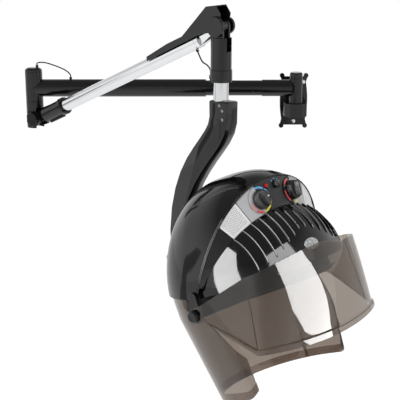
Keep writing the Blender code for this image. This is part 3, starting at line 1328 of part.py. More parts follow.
def build_blower(hood, fan):
    """Heater ring and fan deck on the liner's flat top, the motor above and the wheel between."""
    place = Matrix.Translation((FAN_X, 0, LINER_TOP + GAP))
    heater = []
    for side in range(HEATER_SIDES):
        angle = 2 * pi * side / HEATER_SIDES
        heater.append((HEATER_RING + HEATER_WIRE * cos(angle), HEATER_WIRE * (1 + sin(angle))))
    finish("heater_ring", turned(heater, place, FINE), hood, steel("heater_ring"))
    deck = [(DECK_RADIUS, 0), (DECK_RADIUS, DECK_HEIGHT), (DECK_HOLE, DECK_HEIGHT),
            (DECK_HOLE, DECK_HEIGHT - DECK_WALL), (DECK_RADIUS - DECK_WALL, DECK_HEIGHT - DECK_WALL),
            (DECK_RADIUS - DECK_WALL, 0)]
    finish("fan_deck", turned(deck, place, FINE), hood, silver("fan_deck"))
    base = DECK_HEIGHT + GAP
    bore = MOTOR_SHAFT + BORE_PLAY
    flange = base + DECK_WALL
    crown = base + MOTOR_HEIGHT
    motor = [(bore, base), (MOTOR_FLANGE, base), (MOTOR_FLANGE, flange), (MOTOR_RADIUS, flange),
             (MOTOR_RADIUS, crown), (bore, crown)]
    finish("fan_motor", turned(motor, place, FINE), hood, steel("fan_motor"))
    outline = []
    for blade in range(FAN_BLADES):
        centre = 2 * pi * blade / FAN_BLADES
        for radius, side in ((FAN_HUB, -1), (FAN_RADIUS, -1), (FAN_RADIUS, 1), (FAN_HUB, 1)):
            angle = centre + side * FAN_BLADE_HALF / radius
            outline.append((radius * cos(angle), radius * sin(angle)))
    wheel = prism(outline, FAN_HIGH, Matrix.Translation((0, 0, DECK_HEIGHT - FAN_LOW + GAP)))
    nylon = make_material("fan_wheel", (0.35, 0.35, 0.33), 0.0, 0.5)
    fan_wheel = finish("fan_wheel", wheel, fan, nylon)
    shaft = rod(MOTOR_SHAFT, DECK_HEIGHT - FAN_HIGH, crown, segments=COARSE)
    combine(fan_wheel, finish("shaft_stock", shaft, fan), "UNION")


def build_selector(selector):
    """Small selector knob high on the panel."""
    rings = knob_rings(SELECTOR_RADIUS, SELECTOR_BASE, SELECTOR_TOP, SELECTOR_GRIP_HALF, COARSE)
    finish("selector_knob", loft(rings), selector, black_plastic("selector_knob"))


def build_hood(swivel):
    """All of the hood on its tilting frame, with the visor, knobs and fan on frames of their own."""
    tilt = frame_empty("tilt_frame", (HINGE_X, 0, HINGE_Z), (0, HOOD_TILT, 0), swivel)
    hood = frame_empty("hood_frame", -HINGE_IN_HOOD, parent=tilt)
    build_hinge(hood)
    build_rear_shell(hood)
    build_seam_trim(hood)
    build_front_shell(hood)
    build_face(hood)
    build_badge(hood)
    build_ear_tabs(hood)
    build_skirt(hood)
    build_liner(hood)
    build_visor(frame_empty("visor_frame", (0, 0, 0), parent=hood))
    build_blower(hood, frame_empty("fan_frame", (FAN_X, 0, LINER_TOP + GAP), parent=hood))
    dials = (("timer", "timer_unit", pi - KNOB_ARCH), ("heat", "thermostat_unit", KNOB_ARCH))
    for name, unit_name, arch in dials:
        place = band_frame(arch, KNOB_ROW)
        knob_frame = frame_empty(f"{name}_frame", place.to_translation(), place.to_euler(), hood)
        build_dial(name, unit_name, arch, hood, knob_frame)
    place = band_frame(SELECTOR_ARCH, SELECTOR_ROW)
    build_selector(frame_empty("selector_frame", place.to_translation(), place.to_euler(), hood))


def build_all():
    """Clear the scene and build the dryer outward from the wall."""
    for obj in list(bpy.data.objects):
        bpy.data.objects.remove(obj)
    build_wall_bracket()
    swing = frame_empty("swing_frame", (0, -PIVOT_OUT, ARM_HEIGHT))
    build_swing_arm(swing)
    elbow = frame_empty("elbow_frame", (-ARM_LENGTH, 0, 0), (0, 0, ELBOW_ANGLE), swing)
    build_elbow(elbow)
    lift = frame_empty("lift_frame", (LIFT_OUT, 0, -LIFT_DROP), (0, -SPRING_ARM_SLOPE, 0), elbow)
    build_spring_arm(lift)
    post = frame_empty("post_frame", (SPRING_ARM_LENGTH, 0, AXLE_RISE), (0, SPRING_ARM_SLOPE, 0), lift)
    build_head_post(post)
    swivel = frame_empty("swivel_frame", (0, 0, NECK_TOP), (0, 0, HOOD_YAW), post)
    build_neck(swivel)
    build_hood(swivel)


build_all()
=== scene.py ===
# %% [markdown]
# # A salon hood dryer on a folding wall arm
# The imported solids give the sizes, the joints and the places of everything. This lesson dresses them:
# it loads the solids as a fixed frame, makes the real finishes, refines the coarse solids into smooth
# pieces, adds the small details, and lights the whole like a studio photograph on white.

# %% Load the frame
import json
from collections import namedtuple
from math import acos, cos, pi, radians, sin, sqrt

import bmesh
import bpy
from mathutils import Matrix, Vector
from mathutils.geometry import interpolate_bezier

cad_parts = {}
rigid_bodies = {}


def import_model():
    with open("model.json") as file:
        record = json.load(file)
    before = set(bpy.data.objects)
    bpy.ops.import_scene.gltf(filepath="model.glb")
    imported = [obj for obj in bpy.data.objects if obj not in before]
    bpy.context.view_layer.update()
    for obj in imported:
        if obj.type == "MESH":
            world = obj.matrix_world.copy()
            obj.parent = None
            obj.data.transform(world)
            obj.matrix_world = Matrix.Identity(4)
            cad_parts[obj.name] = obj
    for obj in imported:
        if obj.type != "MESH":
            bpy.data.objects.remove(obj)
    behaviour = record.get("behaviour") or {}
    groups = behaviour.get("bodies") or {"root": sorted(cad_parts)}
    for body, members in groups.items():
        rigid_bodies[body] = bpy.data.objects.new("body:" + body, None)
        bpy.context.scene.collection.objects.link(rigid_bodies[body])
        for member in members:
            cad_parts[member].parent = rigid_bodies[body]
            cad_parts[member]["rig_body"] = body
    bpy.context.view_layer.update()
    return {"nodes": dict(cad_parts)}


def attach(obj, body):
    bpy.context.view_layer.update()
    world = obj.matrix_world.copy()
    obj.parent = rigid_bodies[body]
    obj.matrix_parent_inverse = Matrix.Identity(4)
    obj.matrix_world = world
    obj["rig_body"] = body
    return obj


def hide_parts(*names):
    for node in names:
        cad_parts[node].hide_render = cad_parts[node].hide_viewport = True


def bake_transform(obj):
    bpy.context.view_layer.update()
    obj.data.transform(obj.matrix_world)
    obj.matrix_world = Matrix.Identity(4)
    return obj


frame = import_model()
scene = bpy.context.scene

# %% [markdown]
# ## Where the arm's joints stand
# Each stage of the arm hangs on the one before it, so each stage's placement is the product of the
# placements up to it. The numbers are the arm's own lengths in metres and its resting angles in degrees.

# %% Placements of the arm's stages
SWING_LENGTH = 0.625
ARM_RISE = 24.4


def shift(x, y, z):
    return Matrix.Translation((x, y, z))


def turn(degrees, axis):
    return Matrix.Rotation(radians(degrees), 4, axis)


SWING = shift(0, -0.058, 0.040)
ELBOW = SWING @ shift(-SWING_LENGTH, 0, 0) @ turn(-38, "Z")
LIFT = ELBOW @ shift(0.014, 0, -0.071) @ turn(-ARM_RISE, "Y")
POST = LIFT @ shift(0.5995, 0, 0.007) @ turn(ARM_RISE, "Y")
SWIVEL = POST @ shift(0, 0, -0.150) @ turn(-5, "Z")
TILT = SWIVEL @ shift(-0.1157, 0, -0.3633) @ turn(-25, "Y")
HOOD = TILT @ shift(0.195, 0, -0.116)
print("hood's middle:", [round(v, 4) for v in HOOD.translation])

# %% [markdown]
# ## The camera
# A lens of 90 mm on a 36 mm sensor stands 2.4 m from the wall, a little above the arm, and looks down
# by 16 degrees, as a product photographer would to show the top of the hood.

# %% Camera
LOOK_DOWN = 16
camera_lens = bpy.data.cameras.new("photo_camera")
camera_lens.lens = 90
camera_lens.sensor_width = 36
camera = bpy.data.objects.new("photo_camera", camera_lens)
camera.location = (-0.229, -2.428, 0.441)
camera.rotation_euler = (radians(90 - LOOK_DOWN), 0, 0)
scene.collection.objects.link(camera)
scene.camera = camera
scene.view_settings.view_transform = "Standard"
print("camera at", tuple(camera.location))

# %% [markdown]
# ## Building finishes from nodes
# Every finish is a small node tree. One function adds a node with its settings and its links, and one
# turns an sRGB hex colour into the linear numbers that Blender's shaders use.

# %% Node and colour helpers
MM = 0.001


def linear(code):
    """An sRGB hex colour as linear RGBA."""
    channels = [int(code[i:i + 2], 16) / 255 for i in (1, 3, 5)]
    straight = [c / 12.92 if c <= 0.04045 else ((c + 0.055) / 1.055) ** 2.4 for c in channels]
    return (*straight, 1.0)


def add(tree, kind, inputs=None, **settings):
    """One node with its settings, its values and its links."""
    made = tree.nodes.new(kind)
    for key, value in settings.items():
        setattr(made, key, value)
    for key, value in (inputs or {}).items():
        if isinstance(value, bpy.types.NodeSocket):
            tree.links.new(value, made.inputs[key])
        else:
            made.inputs[key].default_value = value
    return made


def blank(name):
    """An empty material and its tree."""
    made = bpy.data.materials.new(name)
    made.use_nodes = True
    made.node_tree.nodes.clear()
    return made, made.node_tree


def per_mm(size):
    """Texture scale whose features are this many millimetres across."""
    return 1 / (size * MM)


print("half grey in sRGB is", round(linear("#808080")[0], 3), "in linear light")

# %% [markdown]
# ## Moulded, coated and printed surfaces
# The shells are injection-moulded ABS from a polished mould: deep black with a glassy skin that waves
# very slightly. The arm is steel tube with a gloss powder coat, whose skin is a fine orange peel. The
# knobs come from a mould with a fine spark-eroded grain, which gives them a soft sheen. These and the
# lacquers, films and inks are one recipe: two near colours mixed in broad patches, a roughness that
# varies with handling, and a bump with the grain's real size.

# %% Recipe for opaque finishes
# Noise seldom leaves the middle of its range, so the roughness is spread over that part.
NOISE_LOW, NOISE_HIGH = 0.3, 0.7


def coated(name, dark, light, patch, rough, grain, depth, **sockets):
    """Opaque finish: patches of two colours, a roughness range, and a grain in millimetres."""
    made, tree = blank(name)
    place = add(tree, "ShaderNodeTexCoord").outputs["Object"]
    broad = add(tree, "ShaderNodeTexNoise", {"Vector": place, "Scale": per_mm(patch), "Detail": 4.0})
    colour = add(tree, "ShaderNodeMix", {0: broad.outputs["Fac"], 6: linear(dark), 7: linear(light)},
                 data_type="RGBA")
    smudge = add(tree, "ShaderNodeTexNoise",
                 {"Vector": place, "Scale": per_mm(patch / 3), "Detail": 6.0})
    gloss = add(tree, "ShaderNodeMapRange",
                {0: smudge.outputs["Fac"], 1: NOISE_LOW, 2: NOISE_HIGH, 3: rough[0], 4: rough[1]})
    fine = add(tree, "ShaderNodeTexNoise", {"Vector": place, "Scale": per_mm(grain), "Detail": 2.0})
    bump = add(tree, "ShaderNodeBump",
               {"Height": fine.outputs["Fac"], "Strength": 1.0, "Distance": depth * MM})
    shader = add(tree, "ShaderNodeBsdfPrincipled",
                 {"Base Color": colour.outputs[2], "Normal": bump.outputs["Normal"],
                  "Roughness": gloss.outputs[0], **sockets})
    add(tree, "ShaderNodeOutputMaterial", {"Surface": shader.outputs[0]})
    return made


print("recipe for opaque finishes ready")

# %% Blacks of shells, arm and knobs
# Polished ABS: grain is the mould's long, shallow waviness.
gloss_abs = coated("gloss_moulded_abs", "#0B0B0C", "#101011", 60, (0.05, 0.11), 14, 0.012, IOR=1.54)
# Gloss powder coat: the orange peel of fused powder is about 2 mm across.
powder_coat = coated("gloss_powder_coated_steel", "#0E0E0F", "#151516",
                     45, (0.12, 0.22), 2.2, 0.010, IOR=1.52)
# Grained ABS: the spark-eroded grain scatters the light. On a real knob it is near 0.1 mm, which is too
# fine to show here, so it is drawn at 0.6 mm.
grained_abs = coated("grained_moulded_abs", "#101011", "#171718",
                     30, (0.32, 0.42), 0.6, 0.02, IOR=1.54)
# Heat-resistant PBT of the bowl: satin, a little brown where the heat has worked on it.
liner_pbt = coated("satin_moulded_pbt", "#131212", "#1B1918", 40, (0.35, 0.5), 0.9, 0.02, IOR=1.55)
# Soft PVC of leads and grommets: a dull skin that lets light sink in. Its texture and the bowl's are
# drawn coarser than they are, so that they show.
soft_pvc = coated("soft_black_pvc", "#101010", "#181818", 12, (0.4, 0.55), 0.7, 0.02, IOR=1.53)
print("blacks:", gloss_abs.name, powder_coat.name, grained_abs.name, liner_pbt.name, soft_pvc.name)

# %% [markdown]
# ## Pale sheets, films, inks and inner parts
# The grilles' sheet, the badge and the printed panel are the light parts of the hood. The same recipe
# serves them, with finer grains and more roughness, because lacquer and ink are satin and not glassy.
# The parts inside are bare metal and nylon.

# %% Pale sheets, films, inks and inner parts
# The grains of lacquer, film and ink are too fine to show, so they are drawn 0.4 to 0.6 mm across.
POLYCARBONATE_IOR = 1.585
# Silver lacquer over moulded ABS, with mica flakes fine enough to blur.
silver_lacquer = coated("silver_lacquered_abs", "#B4B6B8", "#C8CACB",
                        20, (0.22, 0.32), 0.5, 0.01, Metallic=0.55)
# Perforated sheet: aluminium under an off-white lacquer, which hides the metal's own gloss.
pale_sheet = coated("lacquered_aluminium_sheet", "#EEEEEE", "#F6F6F6", 15, (0.30, 0.40), 0.6, 0.006)
# Panel overlay: printed polycarbonate film, dark in the middle and light grey round the dials.
panel_dark = coated("printed_film_graphite", "#18191A", "#1E1F20",
                    25, (0.34, 0.42), 0.5, 0.006, IOR=POLYCARBONATE_IOR)
panel_light = coated("printed_film_light_grey", "#B5B6B7", "#C1C2C3",
                     25, (0.30, 0.38), 0.5, 0.006, IOR=POLYCARBONATE_IOR)
# Inks printed on the film: flat colour under the film's satin.
ink_blue = coated("blue_printing_ink", "#5AA5DB", "#6CB3E4", 6, (0.34, 0.42), 0.4, 0.004)
ink_yellow = coated("yellow_printing_ink", "#EFE53A", "#F5EC55", 6, (0.34, 0.42), 0.4, 0.004)
ink_red = coated("red_printing_ink", "#E0474B", "#E85F61", 6, (0.34, 0.42), 0.4, 0.004)
ink_pink = coated("pale_red_printing_ink", "#E79A96", "#EDAAA5", 6, (0.34, 0.42), 0.4, 0.004)
ink_white = coated("white_printing_ink", "#E6E6E6", "#F2F2F2", 6, (0.34, 0.42), 0.4, 0.004)
# Lamp lens: red acrylic, dyed so deeply that it looks solid under its polished face.
red_acrylic = coated("red_moulded_acrylic", "#B8101A", "#C81C26",
                     3, (0.05, 0.10), 2.0, 0.004, IOR=1.49)
# Painted shade: an opaque dark rod stands for the thin dark line of shade along each fold of the visor.
fold_shade_paint = coated("painted_fold_shade", "#15110F", "#1C1714",
                     10, (0.40, 0.55), 3.0, 0.004, IOR=POLYCARBONATE_IOR)
# Bare parts inside: oxidised heater wire, galvanised motor can, glass-filled nylon.
heater_wire = coated("oxidised_heater_alloy", "#5B5552", "#77706B",
                     8, (0.35, 0.5), 0.8, 0.02, Metallic=1.0)
galvanised = coated("galvanised_steel", "#8E9194", "#A9ACAE",
                    12, (0.28, 0.42), 3.0, 0.01, Metallic=1.0)
filled_nylon = coated("glass_filled_nylon", "#8C8778", "#9A9584", 20, (0.45, 0.6), 0.8, 0.02)
print("opaque finishes made:", len(bpy.data.materials))

# %% [markdown]
# ## Bright metals
# The sprung arm and the swivel tube are drawn steel tube under bright chrome plate. Chrome reflects the
# white room almost like a mirror; a faint waviness left by polishing breaks the mirror up. The neck's
# screws and the spring are zinc-plated steel, greyer and duller.

# %% Metal finishes
POLISH_PATCH = 35


def plated(name, base, shade, rough, wave, depth):
    """Metal plate with the waviness of polishing, its spacing and depth in millimetres."""
    made, tree = blank(name)
    place = add(tree, "ShaderNodeTexCoord").outputs["Object"]
    cloud = add(tree, "ShaderNodeTexNoise",
                {"Vector": place, "Scale": per_mm(POLISH_PATCH), "Detail": 3.0})
    colour = add(tree, "ShaderNodeMix", {0: cloud.outputs["Fac"], 6: linear(base), 7: linear(shade)},
                 data_type="RGBA")
    gloss = add(tree, "ShaderNodeMapRange",
                {0: cloud.outputs["Fac"], 1: NOISE_LOW, 2: NOISE_HIGH, 3: rough[0], 4: rough[1]})
    waves = add(tree, "ShaderNodeTexNoise", {"Vector": place, "Scale": per_mm(wave), "Detail": 1.0})
    bump = add(tree, "ShaderNodeBump", {"Height": waves.outputs["Fac"], "Distance": depth * MM})
    shader = add(tree, "ShaderNodeBsdfPrincipled",
                 {"Base Color": colour.outputs[2], "Roughness": gloss.outputs[0],
                  "Normal": bump.outputs["Normal"], "Metallic": 1.0})
    add(tree, "ShaderNodeOutputMaterial", {"Surface": shader.outputs[0]})
    return made


bright_chrome = plated("bright_chrome_plate", "#F1F2F3", "#E6E8EA", (0.05, 0.10), 6, 0.004)
zinc_plate = plated("zinc_plated_steel", "#B9BCBF", "#9DA1A5", (0.22, 0.34), 0.8, 0.01)
print("metals:", bright_chrome.name, zinc_plate.name)

# %% [markdown]
# ## Smoke polycarbonate
# The visor and the skirt are vacuum-formed polycarbonate with a brown-grey smoke tint. Light is tinted
# once for each wall that it crosses, so two walls look darker than one, as on the real hood. The index
# of refraction of polycarbonate is 1.585. Finger marks vary the roughness a little.

# %% Clear finishes
DRAWN_PATCH, FINGER_MARK = 120, 18
MARKS_LOW, MARKS_HIGH = 0.35, 0.75


def tinted(name, tint, deeper, rough):
    """Clear plastic with a tint that varies faintly, as formed sheet does where it is drawn thinner."""
    made, tree = blank(name)
    place = add(tree, "ShaderNodeTexCoord").outputs["Object"]
    drawn = add(tree, "ShaderNodeTexNoise",
                {"Vector": place, "Scale": per_mm(DRAWN_PATCH), "Detail": 1.0})
    colour = add(tree, "ShaderNodeMix", {0: drawn.outputs["Fac"], 6: linear(tint), 7: linear(deeper)},
                 data_type="RGBA")
    marks = add(tree, "ShaderNodeTexNoise",
                {"Vector": place, "Scale": per_mm(FINGER_MARK), "Detail": 6.0})
    gloss = add(tree, "ShaderNodeMapRange",
                {0: marks.outputs["Fac"], 1: MARKS_LOW, 2: MARKS_HIGH, 3: rough[0], 4: rough[1]})
    shader = add(tree, "ShaderNodeBsdfPrincipled",
                 {"Base Color": colour.outputs[2], "Roughness": gloss.outputs[0],
                  "Transmission Weight": 1.0, "IOR": POLYCARBONATE_IOR})
    add(tree, "ShaderNodeOutputMaterial", {"Surface": shader.outputs[0]})
    return made


smoke_visor = tinted("smoke_polycarbonate_visor", "#A59A90", "#9E9389", (0.0, 0.03))
smoke_skirt = tinted("smoke_polycarbonate_skirt", "#988C82", "#91857B", (0.01, 0.05))
smoke_hem = tinted("smoke_polycarbonate_hem", "#BFB3AA", "#B7ABA2", (0.01, 0.05))
print("clear finishes:", smoke_visor.name, smoke_skirt.name, smoke_hem.name)

# %% [markdown]
# ## The two short leads
# A 3 mm lead leaves the elbow's cap and enters the swing tube, and another hangs from the sprung arm to
# the clip on the post's collar. Each is one smooth curve through given points. The second one crosses
# the joint between arm and post, so it is made a plain mesh tube that is attached to neither body.

# %% Routes and cables
LEAD_RADIUS = 1.5 * MM
LEAD_STEP = 4 * MM


def smooth_route(points, step):
    """Points at even steps along a smooth curve through the given points."""
    knots = [Vector(p) for p in points]
    ends = [2 * knots[0] - knots[1]] + knots + [2 * knots[-1] - knots[-2]]
    route = []
    for before, start, end, after in zip(ends, ends[1:], ends[2:], ends[3:]):
        count = max(1, round((end - start).length / step))
        leave, arrive = start + (end - before) / 6, end - (after - start) / 6
        route += interpolate_bezier(start, leave, arrive, end, count + 1)[:-1]
    return route + [knots[-1]]


def lead_curve(name, route):
    """A round cable along a route."""
    curve = bpy.data.curves.new(name, "CURVE")
    curve.dimensions = "3D"
    curve.bevel_depth = LEAD_RADIUS
    curve.bevel_resolution = 5
    curve.use_fill_caps = True
    spline = curve.splines.new("POLY")
    spline.points.add(len(route) - 1)
    for knot, point in zip(spline.points, route):
        knot.co = (*point, 1.0)
    curve.materials.append(soft_pvc)
    made = bpy.data.objects.new(name, curve)
    scene.collection.objects.link(made)
    return made


def run_length(route):
    return sum((b - a).length for a, b in zip(route, route[1:]))


def shaped_mesh(piece):
    """A new mesh of what a curve or a piece with modifiers really looks like."""
    return bpy.data.meshes.new_from_object(piece.evaluated_get(bpy.context.evaluated_depsgraph_get()))


print("leads are", 2 * LEAD_RADIUS / MM, "mm thick")

# %% The elbow's lead
elbow_points = ((0.009, 0.0556), (0.009, 0.0590), (0.014, 0.0610), (0.030, 0.060), (0.055, 0.052),
                (0.075, 0.043), (0.085, 0.035), (0.088, 0.0296), (0.088, 0.0262))
elbow_points = [(x - SWING_LENGTH, 0, z) for x, z in elbow_points]
elbow_route = [SWING @ p for p in smooth_route(elbow_points, LEAD_STEP)]
elbow_cable = lead_curve("elbow_cable", elbow_route)
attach(elbow_cable, "swing_arm")
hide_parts("elbow_lead")
print("elbow's lead:", round(run_length(elbow_route), 4), "m")

# %% The head's lead
arm_turn = turn(-ARM_RISE, "Y")
arm_foot = Vector((-0.078, 0, -0.0266))
head_points = [arm_turn @ arm_foot, arm_turn @ (arm_foot - Vector((0, 0, 3 * LEAD_RADIUS))),
               (-0.048, 0, -0.076), (-0.037, 0, -0.081), (-0.029, 0, -0.088),
               (-0.0262, 0, -0.0975), (-0.0262, 0, -0.1007)]
head_route = [POST @ p for p in smooth_route(head_points, LEAD_STEP)]
head_curve = lead_curve("head_cable_curve", head_route)
head_mesh = shaped_mesh(head_curve)
bpy.data.objects.remove(head_curve)
head_cable = bpy.data.objects.new("head_cable", head_mesh)
scene.collection.objects.link(head_cable)
head_mesh.shade_smooth()
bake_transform(head_cable)
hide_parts("head_lead")
print("head's lead:", round(run_length(head_route), 4), "m")

# %% [markdown]
# ## Refining a coarse solid
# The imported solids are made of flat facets, which is right for motion but wrong for gloss: a polished
# surface shows each facet. A refined copy welds the facets together, rounds the real edges by a
# fraction of a millimetre and, where the form is round, subdivides it into a smooth surface.

# %% Pieces and what they stand for
WELD = 0.01 * MM
FOLD = radians(35)


def dress(piece, body, finish=None, stands_for=()):
    """Give a piece its body, the solids that it stands for and, unless it has them, its finish."""
    if finish:
        piece.data.materials.clear()
        piece.data.materials.append(finish)
    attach(piece, body)
    if stands_for:
        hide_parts(*stands_for)
    return piece


def piece_from(name, bm, place=Matrix(), fold=FOLD):
    """A named, smooth-shaded object from a bmesh."""
    bmesh.ops.remove_doubles(bm, verts=bm.verts, dist=WELD)
    bmesh.ops.recalc_face_normals(bm, faces=bm.faces)
    mesh = bpy.data.meshes.new(name)
    bm.to_mesh(mesh)
    bm.free()
    mesh.transform(place)
    mesh.shade_smooth()
    mesh.set_sharp_from_angle(angle=fold)
    made = bpy.data.objects.new(name, mesh)
    scene.collection.objects.link(made)
    return made


print("facets are welded within", WELD / MM, "mm")

# %% Refined copies
FLAT_PAIR = radians(9)
SQUARE_PAIR = radians(70)


def soften(piece, width, levels=0):
    """Rounded edges, their width in millimetres, and a smooth surface where levels is above zero."""
    edges = piece.modifiers.new("rounded edges", "BEVEL")
    edges.width = width * MM
    edges.segments = 2
    edges.limit_method = "ANGLE"
    edges.angle_limit = FOLD
    edges.harden_normals = levels == 0
    if levels:
        smooth = piece.modifiers.new("smooth surface", "SUBSURF")
        smooth.levels = levels
        smooth.render_levels = levels
    return piece


def refined(node, finish, edge, levels=0):
    """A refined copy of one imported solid."""
    source = frame["nodes"][node].data
    bm = bmesh.new()
    corners = [bm.verts.new(v.co) for v in source.vertices]
    for facet in source.polygons:
        bm.faces.new([corners[i] for i in facet.vertices])
    bmesh.ops.remove_doubles(bm, verts=bm.verts, dist=WELD)
    bmesh.ops.join_triangles(bm, faces=bm.faces, angle_face_threshold=FLAT_PAIR,
                             angle_shape_threshold=SQUARE_PAIR)
    made = piece_from(f"{node}_skin", bm)
    if levels:
        made.data.shade_smooth()
    soften(made, edge, levels)
    return dress(made, frame["nodes"][node]["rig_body"], finish, [node])


print("solids that can be refined:", len(frame["nodes"]))

# %% [markdown]
# ## The arm
# Tubes, pins and caps are turned parts, so they are subdivided into true rounds. Cast and bored parts
# keep their faces and only have their edges rounded, as a casting's edges are. Each entry gives a
# finish and the width of its rounded edges in millimetres.

# %% Arm pieces
turned_pieces = {
    "hinge_pin": (gloss_abs, 0.8), "inner_tube": (powder_coat, 0.5), "elbow_cap": (gloss_abs, 0.5),
    "tube_grommet": (soft_pvc, 0.5), "elbow_washer": (powder_coat, 0.2),
    "spring_arm_tube": (bright_chrome, 0.4), "arm_grommet": (soft_pvc, 0.5),
    "head_axle": (gloss_abs, 0.7), "axle_cap": (gloss_abs, 0.6), "swivel_tube": (bright_chrome, 0.4),
    "tilt_pin": (grained_abs, 0.8), "tilt_knob": (grained_abs, 0.8),
    "left_pivot_button": (grained_abs, 0.5), "right_pivot_button": (grained_abs, 0.5),
}
for node, (finish, edge) in turned_pieces.items():
    refined(node, finish, edge, levels=2)
cast_pieces = {
    "wall_plate": (powder_coat, 0.7), "arm_hub": (powder_coat, 0.5), "outer_tube": (powder_coat, 0.5),
    "elbow_sleeve": (powder_coat, 0.6), "elbow_knuckle": (powder_coat, 0.6),
    "lift_bolt": (powder_coat, 0.8), "lift_nut": (powder_coat, 0.8), "arm_collet": (gloss_abs, 0.6),
    "head_block": (bright_chrome, 0.5), "head_cover": (gloss_abs, 1.2), "head_post": (powder_coat, 0.7),
    "post_collar": (gloss_abs, 0.6), "hinge_bracket": (gloss_abs, 1.5),
    "left_ear_tab": (gloss_abs, 0.8), "right_ear_tab": (gloss_abs, 0.8), "neck": (gloss_abs, 0.3),
}
for node, (finish, edge) in cast_pieces.items():
    refined(node, finish, edge)
# The head block is chromed where it takes the tube and coated black round the axle.
CHROME_END = 0.575
block_mesh = bpy.data.objects["head_block_skin"].data
block_mesh.materials.append(powder_coat)
for facet in block_mesh.polygons:
    facet.material_index = int((LIFT.inverted() @ facet.center).x > CHROME_END)
print("arm pieces:", len(turned_pieces) + len(cast_pieces))

# %% [markdown]
# ## The hood's form
# The two shells are squashed spheres whose front, rear, side and top are set one by one. A ray from the
# ear-to-ear axis finds the surface: the slice angle tips the ray from front to rear, and the arch angle
# carries it from the left ear over the top to the right ear. Both are in degrees.

# %% Hulls and rays
Hull = namedtuple("Hull", "front rear side top front_power rear_power side_power top_power")
DOME = Hull(0.192, 0.172, 0.190, 0.217, 3.3, 2.0, 2.05, 1.8)
BONNET = Hull(0.176, 0.170, 0.182, 0.155, 3.1, 2.0, 2.0, 2.0)
SPRING_LINE = 0.030
SLICE_AXIS = Vector((0.014, 0.0, 0.029))
RAY_REACH, HALVINGS = 0.5, 30


def hull_fill(hull, p):
    """Below one inside the hull and one on it; its walls stand straight below the spring line."""
    along = p.x / hull.front if p.x > 0 else -p.x / hull.rear
    power = hull.front_power if p.x > 0 else hull.rear_power
    rise = max(p.z - SPRING_LINE, 0) / hull.top
    return along ** power + (abs(p.y) / hull.side) ** hull.side_power + rise ** hull.top_power


def hull_reach(hull, origin, direction):
    """Where a ray from inside meets the hull, by halving."""
    near, far = 0.0, RAY_REACH
    for _ in range(HALVINGS):
        middle = (near + far) / 2
        if hull_fill(hull, origin + direction * middle) < 1:
            near = middle
        else:
            far = middle
    return origin + direction * near


def slice_point(hull, tip, arch):
    """Point on a hull, both angles in degrees."""
    a, s = radians(arch), radians(tip)
    return hull_reach(hull, SLICE_AXIS, Vector((sin(a) * cos(s), cos(a), sin(a) * sin(s))))


print("dome:", 2 * DOME.side, "m from ear to ear; bonnet:", 2 * BONNET.side, "m")

# %% Skins between rings of points


def spread(start, end, steps):
    return [start + (end - start) * i / steps for i in range(steps + 1)]


def loft(rings, wrap=False, caps=True):
    """Skin closed rings in order."""
    bm = bmesh.new()
    rows = [[bm.verts.new(p) for p in ring] for ring in rings]
    for row, after in zip(rows, rows[1:] + rows[:1] if wrap else rows[1:]):
        for i in range(len(row)):
            bm.faces.new((row[i - 1], row[i], after[i], after[i - 1]))
    if caps and not wrap:
        bm.faces.new(rows[0])
        bm.faces.new(rows[-1])
    return bm


def shell(outer, inner, slices, arches):
    """Closed shell between two hulls."""
    rings = []
    for arch in arches:
        skin = [slice_point(outer, tip, arch) for tip in slices]
        rings.append(skin + [slice_point(inner, tip, arch) for tip in reversed(slices)])
    return loft(rings, caps=False)


print("a half turn in four steps:", spread(0, 180, 4))

# %% [markdown]
# ## The two shells
# The rear dome is one smooth polished moulding, and the bonnet in front of it is another. They could be
# sculpted from a sphere, but a grid between two hulls follows the solid's own numbers and gives an even
# wall, so it is used here with enough rows for a clean reflection.

# %% Rear dome and bonnet
ARCHES = spread(0, 180, 80)
SHELL_WALL = 3 * MM
SEAM_SLICE = 58.6
REAR_SLICE = 171
RIB_SLICE = 46.5
FRONT_SLICE = 0
SLICE_GAP = 0.3


def grown(hull, by):
    sizes = {key: getattr(hull, key) + by for key in ("front", "rear", "side", "top")}
    return hull._replace(**sizes)


def closed_shell(name, hull, start, end, rows, node):
    """Polished shell of one hull between two slices."""
    bm = shell(hull, grown(hull, -SHELL_WALL), spread(start, end, rows), ARCHES)
    return dress(piece_from(name, bm, HOOD), "hood", gloss_abs, [node])


rear_dome = closed_shell("rear_dome", DOME, SEAM_SLICE + SLICE_GAP, REAR_SLICE, 34, "rear_shell")
bonnet = closed_shell("bonnet", BONNET, RIB_SLICE - SLICE_GAP, FRONT_SLICE, 26, "front_shell")
print("shells:", len(rear_dome.data.polygons), "and", len(bonnet.data.polygons), "faces")

# %% [markdown]
# ## The ribs
# The bonnet carries fourteen thin ribs. Each is a blade with a rounded crest that follows the bonnet and
# runs out in a nose above the smooth front. Stations are taken down the bonnet until the rib reaches its
# end height, which is lower towards the ears, and one section is lofted through them.

# %% Ribs
RIB_COUNT = 14
RIB_PITCH = 20 * MM
RIB_HALF = 1.0 * MM
RIB_RISE = 3.2 * MM
RIB_ROOT = 1.5 * MM
RIB_STATIONS = 70
RIB_NOSE = 5
RIB_END = 0.104
RIB_END_FALL = 0.45


